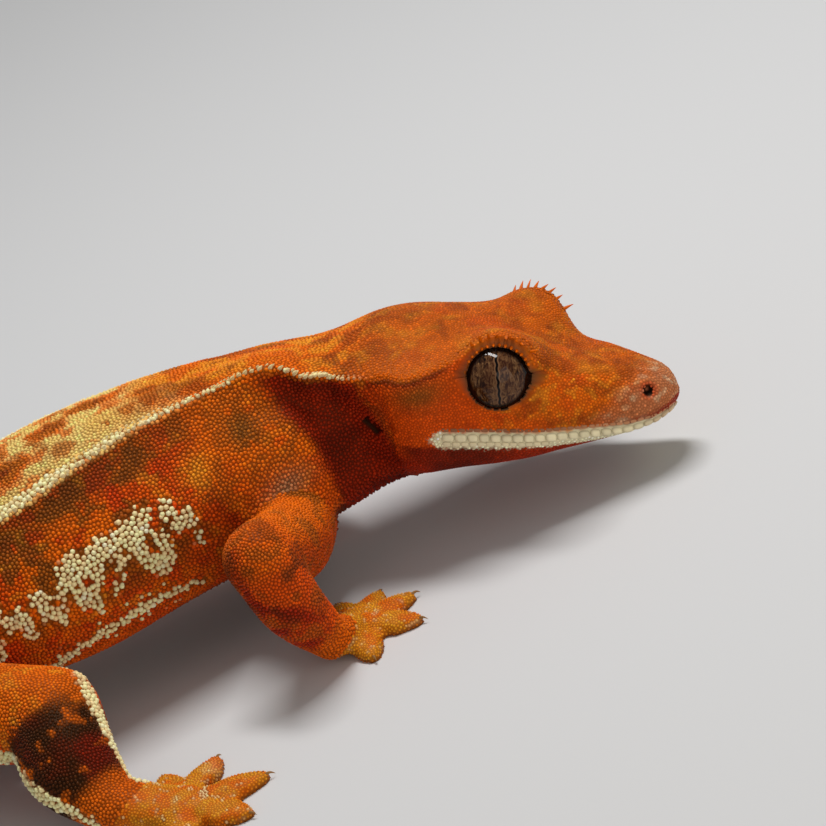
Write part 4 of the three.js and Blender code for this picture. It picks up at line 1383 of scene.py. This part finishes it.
def add_brow_spines(surface):
    """A short row of spines along the edge of each brow."""
    count = BROW_SPINES["count"]
    s = np.linspace(BROW_SPINES["from"], BROW_SPINES["to"], count)
    sizes = [np.full(count, size) * rng.uniform(0.85, 1.15, count) for size in BROW_SPINES["size"]]
    colours, lean = repeated(ORANGE * 1.05, count), np.full(count, 0.15)
    for name, side in EYE_SIDES.items():
        v = np.full(count, mirror(1.0, side))
        add_thorns(f"brow_spines_{name}", surface, s, v, sizes, colours, lean, 0.6)


def ring_on_eye(side, turn, radius, extra):
    """Points at a radius from the eye's centre, extra radians outside the lids' edge, and their way out."""
    centre, ahead, above, axis = eye_frame(side)
    away = lid_angle(turn) + extra
    out = np.cos(turn)[:, None] * ahead + np.sin(turn)[:, None] * above
    direction = np.cos(away)[:, None] * axis + np.sin(away)[:, None] * out
    return centre + direction * np.asarray(radius).reshape(-1, 1), out


# A lid's rim from inside to outside: radians outside the lids' edge, radius, share of its own colour
LID_PROFILE = (
    (0.015, 3.44, 0.0),
    (-0.02, 3.62, 0.25),
    (0.01, 3.8, 0.8),
    (0.06, 3.9, 1.0),
    (0.12, 3.93, 1.0),
    (0.17, 3.88, 0.9),
    (0.2, 3.6, 0.6),
)
LID_STEPS = 120
# The lids' inner edge is near black: partly its own dark edge, partly painted shadow on the eye
LOWER_LID, LID_EDGE_SHADE = linear(96, 66, 44), linear(8, 4, 3)


def add_lid(name, side):
    """The rim of an eye's lids, thicker above."""
    turn = np.linspace(0, 2 * math.pi, LID_STEPS, endpoint=False)
    upper = smooth(-0.2, 0.5, np.sin(turn - 0.1))
    size = 0.45 + 0.55 * upper
    rim = mix(LOWER_LID, ORANGE, upper)
    rings, tints = [], []
    for extra, radius, own in LID_PROFILE:
        rings.append(ring_on_eye(side, turn, EYE["r"] + (radius - EYE["r"]) * size, extra * size)[0])
        # towards the inside each rim fades to the near-black edge, partly painted shade
        tints.append(mix(LID_EDGE_SHADE, rim, np.full(LID_STEPS, own)))
    across = len(LID_PROFILE)
    grid = np.arange(LID_STEPS * across).reshape(LID_STEPS, across)
    after = np.roll(grid, -1, 0)
    faces = np.stack([grid[:, :-1], grid[:, 1:], after[:, 1:], after[:, :-1]], -1).reshape(-1, 4)
    if side > 0:
        faces = faces[:, ::-1]
    middle = (0.08, 0.1 + 0.4 * (side > 0))
    uv = middle + 0.001 * np.stack([np.cos(turn), np.sin(turn)], 1)
    points, colours = (np.stack(rows, 1).reshape(-1, 3) for rows in (rings, tints))
    add_piece(f"lid_{name}", points, faces, SKIN, colours, uv.repeat(across, 0))


LASHES = {"from": 24, "to": 150, "count": 13, "width": 0.2, "length": 0.45, "longer": 0.2}


def add_lashes(name, side):
    """The pointed scales of the upper lid, which overhang the eye."""
    turn = np.radians(np.linspace(LASHES["from"], LASHES["to"], LASHES["count"]))
    root, out = ring_on_eye(side, turn, 3.74, 0.02)
    facing = unit(0.75 * eye_frame(side)[3] - 0.35 * out)
    count = LASHES["count"]
    sizes = np.full(count, LASHES["width"]), LASHES["length"] + LASHES["longer"] * bump(turn, 1.2, 0.6)
    foot, tip = repeated(BROWN, count), repeated(np.clip(ORANGE * 1.2, 0, 1), count)
    uv = np.stack([0.09 + 0.001 * turn, np.full(count, 0.12 + 0.4 * (side > 0))], 1)
    add_stamped(f"lashes_{name}", THORN, root, facing, out, sizes, foot, tip, uv, patch=0.0)


CHIN_END = 4.6  # the second row of lower plates ends this far in front of the eyes
LIP_TURN = 12.6  # the rows turn round the snout from here
LIP_STRAIGHT = (LIP_TURN - MOUTH_CORNER) / (LIP_TURN - MOUTH_CORNER + 4.6)  # share of a row before the turn


def lip_x(t):
    return MOUTH_CORNER + (LIP_TURN - MOUTH_CORNER) * np.minimum(t / LIP_STRAIGHT, 1)


def lip_path(t, height, side):
    """Rays towards the head along the lips, for t from 0 at the mouth's corner to 1 at the front."""
    x = lip_x(t)
    swing = np.clip((t - LIP_STRAIGHT) / (1 - LIP_STRAIGHT), 0, 1) * math.radians(84)
    z = mouth_height(x + 3.9 * np.sin(swing)) + height
    out = np.stack([np.sin(swing), side * np.cos(swing), np.zeros_like(swing)], 1)
    start = np.stack([x, np.zeros_like(x), z], 1) + out * 12.0
    return in_head(start), -out @ HEAD_TURN.T


# Rows of lip plates: lower and upper edge from the mouth's line, the number of plates from the corner to the
# front, how far they stand out, and how much they have of the lip's white
LIP_ROWS = {
    "lower": (-0.92, -0.09, 22, 0.3, 1.0),
    "chin": (-1.42, -0.9, 31, 0.16, 0.85),
    "upper": (0.08, 0.5, 34, 0.1, 0.0),
}


def lip_colour(x, white):
    """Colour of one lip plate at a distance in front of the eyes."""
    x = np.array([x])
    upper = painted(BROWN, (SNOUT_PINK, smooth(3, 11, x)), (LIP_WHITE, np.array([0.12])))
    lower = mix(LIP_WHITE, SNOUT_PINK, 0.45 * smooth(12.5, 15.5, x))
    return mix(upper, lower, np.array([white]))[0] * rng.uniform(0.92, 1.06)


def add_lips(surface):
    """Rows of low rounded plates along both lips: white below, brown and pink above."""
    grid = 7
    gu, gw = grid_of(np.linspace(-1, 1, grid), np.linspace(-1, 1, grid))
    round_u, round_w = gu * np.sqrt(1 - 0.42 * gw**2), gw * np.sqrt(1 - 0.42 * gu**2)
    rise = np.clip((1 - gu**6) * (1 - gw**6), 0, 1) ** 0.5
    cell = np.arange(grid * grid).reshape(grid, grid)[:-1, :-1].ravel()
    for side_name, side in EYE_SIDES.items():
        for row, (low, high, count, thick, white) in LIP_ROWS.items():
            edges = np.linspace(0, 1, count + 1) ** 0.93
            points, faces, tints, uvs = [], [], [], []
            for k in range(count):
                start, end = edges[k : k + 2]
                t = (start + end) / 2 + round_u * (end - start) * rng.uniform(0.5, 0.58)
                if row == "chin" and lip_x(t.mean()) > CHIN_END:
                    break
                fade = 1 - 0.35 * smooth(0.7, 1, t)
                tall = ((low + high) / 2 + round_w * (high - low) * rng.uniform(0.5, 0.58)) * fade
                place, normal = surface.hit(*lip_path(t, tall, side))
                points.append(place + normal * (rise * thick - 0.05)[:, None])
                i = cell + k * grid * grid
                faces.append(np.stack([i, i + grid, i + grid + 1, i + 1], 1))
                colour = lip_colour(to_head(place)[:, 0].mean(), white)
                # Painted light and shade: each plate is darker at its edges and lighter on its top
                tints.append(colour * (0.5 + 0.55 * rise)[:, None])
                corner = np.array([0.02 + 0.1 * (1 - t.mean()), 0.18 if side < 0 else 0.42])
                uvs.append(corner + np.stack([gu, gw], 1) * UV_PATCH)
            points, faces, tints, uvs = (np.concatenate(rows) for rows in (points, faces, tints, uvs))
            if side < 0:
                faces = faces[:, ::-1]
            add_piece(f"lip_{row}_{side_name}", points, faces, SCALE, tints, uvs)


CLAW = {"height": 0.55, "root": 0.35, "length": 0.95, "radius": 0.2, "colour": linear(150, 110, 66)}


def claw(palm, heading, length):
    """A claw that rises from the end of a digit and hooks down to its point."""
    forward = heading_vector(heading)
    start = np.array([*palm, CLAW["height"]]) + forward * (length - CLAW["root"])
    t = np.linspace(0, 1, 8)[:, None]
    hook = 0.25 * np.sin(t * 2.2) - 0.42 * t**2
    spine = start + forward * (CLAW["length"] * t) + np.array([0, 0, 1.0]) * hook
    radius = CLAW["radius"] * (1 - t) ** 0.75 + 0.012
    curve = np.concatenate([spine, radius * 0.8, radius], 1)
    return rings_to_mesh(tube(curve, unit(np.gradient(spine, axis=0)), 10))


def add_claws():
    for number, (name, limb) in enumerate(LIMBS.items()):
        points, faces = join([claw(limb["palm"], *digit) for digit in limb["digits"]])
        uv = repeated((0.205 + 0.25 * number, 0.985), len(points))
        add_piece(f"claws_{name}", points, faces, HORN, repeated(CLAW["colour"], len(points)), uv)


# Shades of the iris, by the height of its vein pattern
IRIS_SHADES = ((0.36, (14, 7, 4)), (0.46, (62, 35, 18)), (0.56, (110, 76, 46)), (0.72, (146, 112, 76)))
# Parts of the eye in radii: half widths of the slit and its pale edge, half height of both, start of the
# black rim, which is partly painted shadow of the lids
SLIT, SLIT_EDGE, SLIT_HEIGHT, RIM = 0.034, 0.075, 0.72, 0.70


def eye_material():
    """A grey-brown iris with fine dark veins, a wavy upright slit and a black rim, partly painted shadow of
    the lids, under a wet gloss.
    """
    material = bpy.data.materials.new("eye")
    material.use_nodes = True
    nodes, links = material.node_tree.nodes, material.node_tree.links
    shader = nodes["Principled BSDF"]
    shader.inputs["Roughness"].default_value = 0.5
    shader.inputs["Specular IOR Level"].default_value = 0.0
    shader.inputs["Coat Weight"].default_value = 0.4
    shader.inputs["Coat Roughness"].default_value = 0.02

    def math_node(operation, a, b=None, clamp=False):
        node = nodes.new("ShaderNodeMath")
        node.operation = operation
        node.use_clamp = clamp
        for socket, value in zip(node.inputs, (a, b)):
            if value is None:
                continue
            if isinstance(value, (int, float)):
                socket.default_value = value
            else:
                links.new(value, socket)
        return node.outputs[0]

    def ramp(value, stops):
        node = nodes.new("ShaderNodeValToRGB")
        elements = node.color_ramp.elements
        for element, stop in zip(elements, (stops[0], stops[-1])):
            element.position, element.color = stop
        for position, colour in stops[1:-1]:
            elements.new(position).color = colour
        links.new(value, node.inputs["Fac"])
        return node.outputs["Color"]

    def blend(factor, a, b):
        node = nodes.new("ShaderNodeMix")
        node.data_type = "RGBA"
        links.new(factor, node.inputs["Factor"])
        for socket, value in ((node.inputs[6], a), (node.inputs[7], b)):
            if isinstance(value, tuple):
                socket.default_value = value
            else:
                links.new(value, socket)
        return node.outputs[2]

    def flat(*colour):
        return (*linear(*colour), 1.0)

    place = nodes.new("ShaderNodeTexCoord")
    split = nodes.new("ShaderNodeSeparateXYZ")
    links.new(place.outputs["Object"], split.inputs[0])
    radius = EYE["r"] * MM
    x = math_node("DIVIDE", split.outputs["X"], radius)
    y = math_node("DIVIDE", split.outputs["Y"], radius)
    stretch = nodes.new("ShaderNodeMapping")
    stretch.inputs["Scale"].default_value = (1 / radius, 0.42 / radius, 0.6 / radius)
    links.new(place.outputs["Object"], stretch.inputs["Vector"])
    veins = nodes.new("ShaderNodeTexNoise")
    veins.inputs["Scale"].default_value = 10.0
    veins.inputs["Detail"].default_value = 6
    veins.inputs["Roughness"].default_value = 0.7
    veins.inputs["Distortion"].default_value = 0.9
    links.new(stretch.outputs["Vector"], veins.inputs["Vector"])
    iris = ramp(veins.outputs["Fac"], [(height, flat(*colour)) for height, colour in IRIS_SHADES])
    cloud = nodes.new("ShaderNodeTexNoise")
    cloud.inputs["Scale"].default_value = 1.4
    links.new(stretch.outputs["Vector"], cloud.inputs["Vector"])
    warm = math_node("MULTIPLY", math_node("SUBTRACT", cloud.outputs["Fac"], 0.42), 2.6, clamp=True)
    iris = blend(warm, iris, flat(64, 22, 12))
    ripple = math_node("MULTIPLY", math_node("SINE", math_node("MULTIPLY", y, 26.0)), 0.012)
    slant = math_node("MULTIPLY", y, 0.08)
    off = math_node("ABSOLUTE", math_node("ADD", math_node("ADD", x, slant), ripple))
    span = math_node("GREATER_THAN", SLIT_HEIGHT, math_node("ABSOLUTE", y))
    for half, colour in ((SLIT_EDGE, flat(112, 78, 52)), (SLIT, flat(5, 3, 3))):
        within = math_node("GREATER_THAN", half, off)
        iris = blend(math_node("MULTIPLY", within, span), iris, colour)
    out = math_node("SQRT", math_node("ADD", math_node("MULTIPLY", x, x), math_node("MULTIPLY", y, y)))
    # The black rim is partly the eye's dark edge and partly painted shadow of the lids
    rim = math_node("MULTIPLY", math_node("SUBTRACT", out, RIM), 12.0, clamp=True)
    links.new(blend(rim, iris, flat(6, 4, 3)), shader.inputs["Base Color"])
    return material


def add_eyes():
    material = eye_material()
    for name, side in EYE_SIDES.items():
        centre, ahead, above, _ = eye_frame(side)
        mesh = bpy.data.meshes.new(f"eyeball_{name}")
        net = bmesh.new()
        bmesh.ops.create_uvsphere(net, u_segments=96, v_segments=64, radius=EYE["r"] * MM)
        net.to_mesh(mesh)
        net.free()
        mesh.shade_smooth()
        mesh.materials.append(material)
        obj = bpy.data.objects.new(f"eyeball_{name}", mesh)
        bpy.context.scene.collection.objects.link(obj)
        turn = Matrix(np.stack([ahead, above, np.cross(ahead, above)], 1).tolist()).to_4x4()
        obj.matrix_world = Matrix.Translation(centre * MM + SHIFT) @ turn
        bpy.context.view_layer.update()
        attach(obj, "root")
        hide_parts(f"eye_{name}")


# Floor, lights and camera

CAMERA_AIM = (18.05, -5.0, 14.0)
CAMERA_FAR = 420.0
CAMERA_ABOVE = 24.0  # degrees above the horizon
CAMERA_ROLL = 27.0  # degrees, since the animal in the photograph stands on a slope
SENSOR = 36
PHOTO_WIDTH = 82.6  # millimetres across the photograph at the aim
LIGHT_AIM = (5, -3, 10)
FLOOR_HALF = 6.0  # metres
FLOOR_GREY = 0.66
SKY_STRENGTH = 0.24


def in_model(point):
    return Vector(np.asarray(point, float) * MM + SHIFT)


def add_camera():
    data = bpy.data.cameras.new("camera")
    data.sensor_width = SENSOR
    data.lens = SENSOR * CAMERA_FAR / PHOTO_WIDTH
    data.clip_start, data.clip_end = 0.01, 20
    camera = bpy.data.objects.new("camera", data)
    bpy.context.scene.collection.objects.link(camera)
    above = math.radians(CAMERA_ABOVE)
    back = Vector((0, -math.cos(above), math.sin(above)))
    camera.location = in_model(CAMERA_AIM) + back * CAMERA_FAR * MM
    level = (-back).to_track_quat("-Z", "Y").to_matrix().to_4x4()
    roll = Matrix.Rotation(math.radians(-CAMERA_ROLL), 4, "Z")
    camera.matrix_world = Matrix.Translation(camera.location) @ level @ roll
    bpy.context.scene.camera = camera


def add_light(name, place, size, power, colour=(1, 1, 1)):
    data = bpy.data.lights.new(name, "AREA")
    data.shape = "RECTANGLE"
    data.size, data.size_y = size
    data.energy = power
    data.color = colour
    light = bpy.data.objects.new(name, data)
    bpy.context.scene.collection.objects.link(light)
    light.location = in_model(place)
    aim = in_model(LIGHT_AIM) - light.location
    light.rotation_mode = "QUATERNION"
    light.rotation_quaternion = aim.to_track_quat("-Z", "Y")


def add_stage():
    mesh = bpy.data.meshes.new("floor")
    corners = [(x * FLOOR_HALF, y * FLOOR_HALF, 0) for x, y in ((-1, -1), (1, -1), (1, 1), (-1, 1))]
    mesh.from_pydata(corners, [], [(0, 1, 2, 3)])
    material = bpy.data.materials.new("floor")
    material.use_nodes = True
    shader = material.node_tree.nodes["Principled BSDF"]
    shader.inputs["Base Color"].default_value = (FLOOR_GREY, FLOOR_GREY, FLOOR_GREY, 1)
    shader.inputs["Roughness"].default_value = 0.9
    shader.inputs["Specular IOR Level"].default_value = 0.2
    mesh.materials.append(material)
    floor = bpy.data.objects.new("floor", mesh)
    bpy.context.scene.collection.objects.link(floor)
    world = bpy.data.worlds.new("world")
    world.use_nodes = True
    sky = world.node_tree.nodes["Background"]
    sky.inputs["Color"].default_value = (1.0, 1.0, 1.0, 1)
    sky.inputs["Strength"].default_value = SKY_STRENGTH
    bpy.context.scene.world = world
    add_light("key", (85, 60, 350), (0.22, 0.05), 1.0)
    add_light("front", (120, -280, 90), (0.25, 0.25), 0.27, (1, 0.92, 0.82))
    bpy.context.scene.view_settings.view_transform = "Standard"


add_camera()
add_stage()
skin_surface = make_skin()
dress_skin(skin_surface)
add_scales(skin_surface)
add_crests(skin_surface)
add_brow_spines(skin_surface)
for eye_name, eye_side in EYE_SIDES.items():
    add_lid(eye_name, eye_side)
    add_lashes(eye_name, eye_side)
add_lips(skin_surface)
add_claws()
add_eyes()
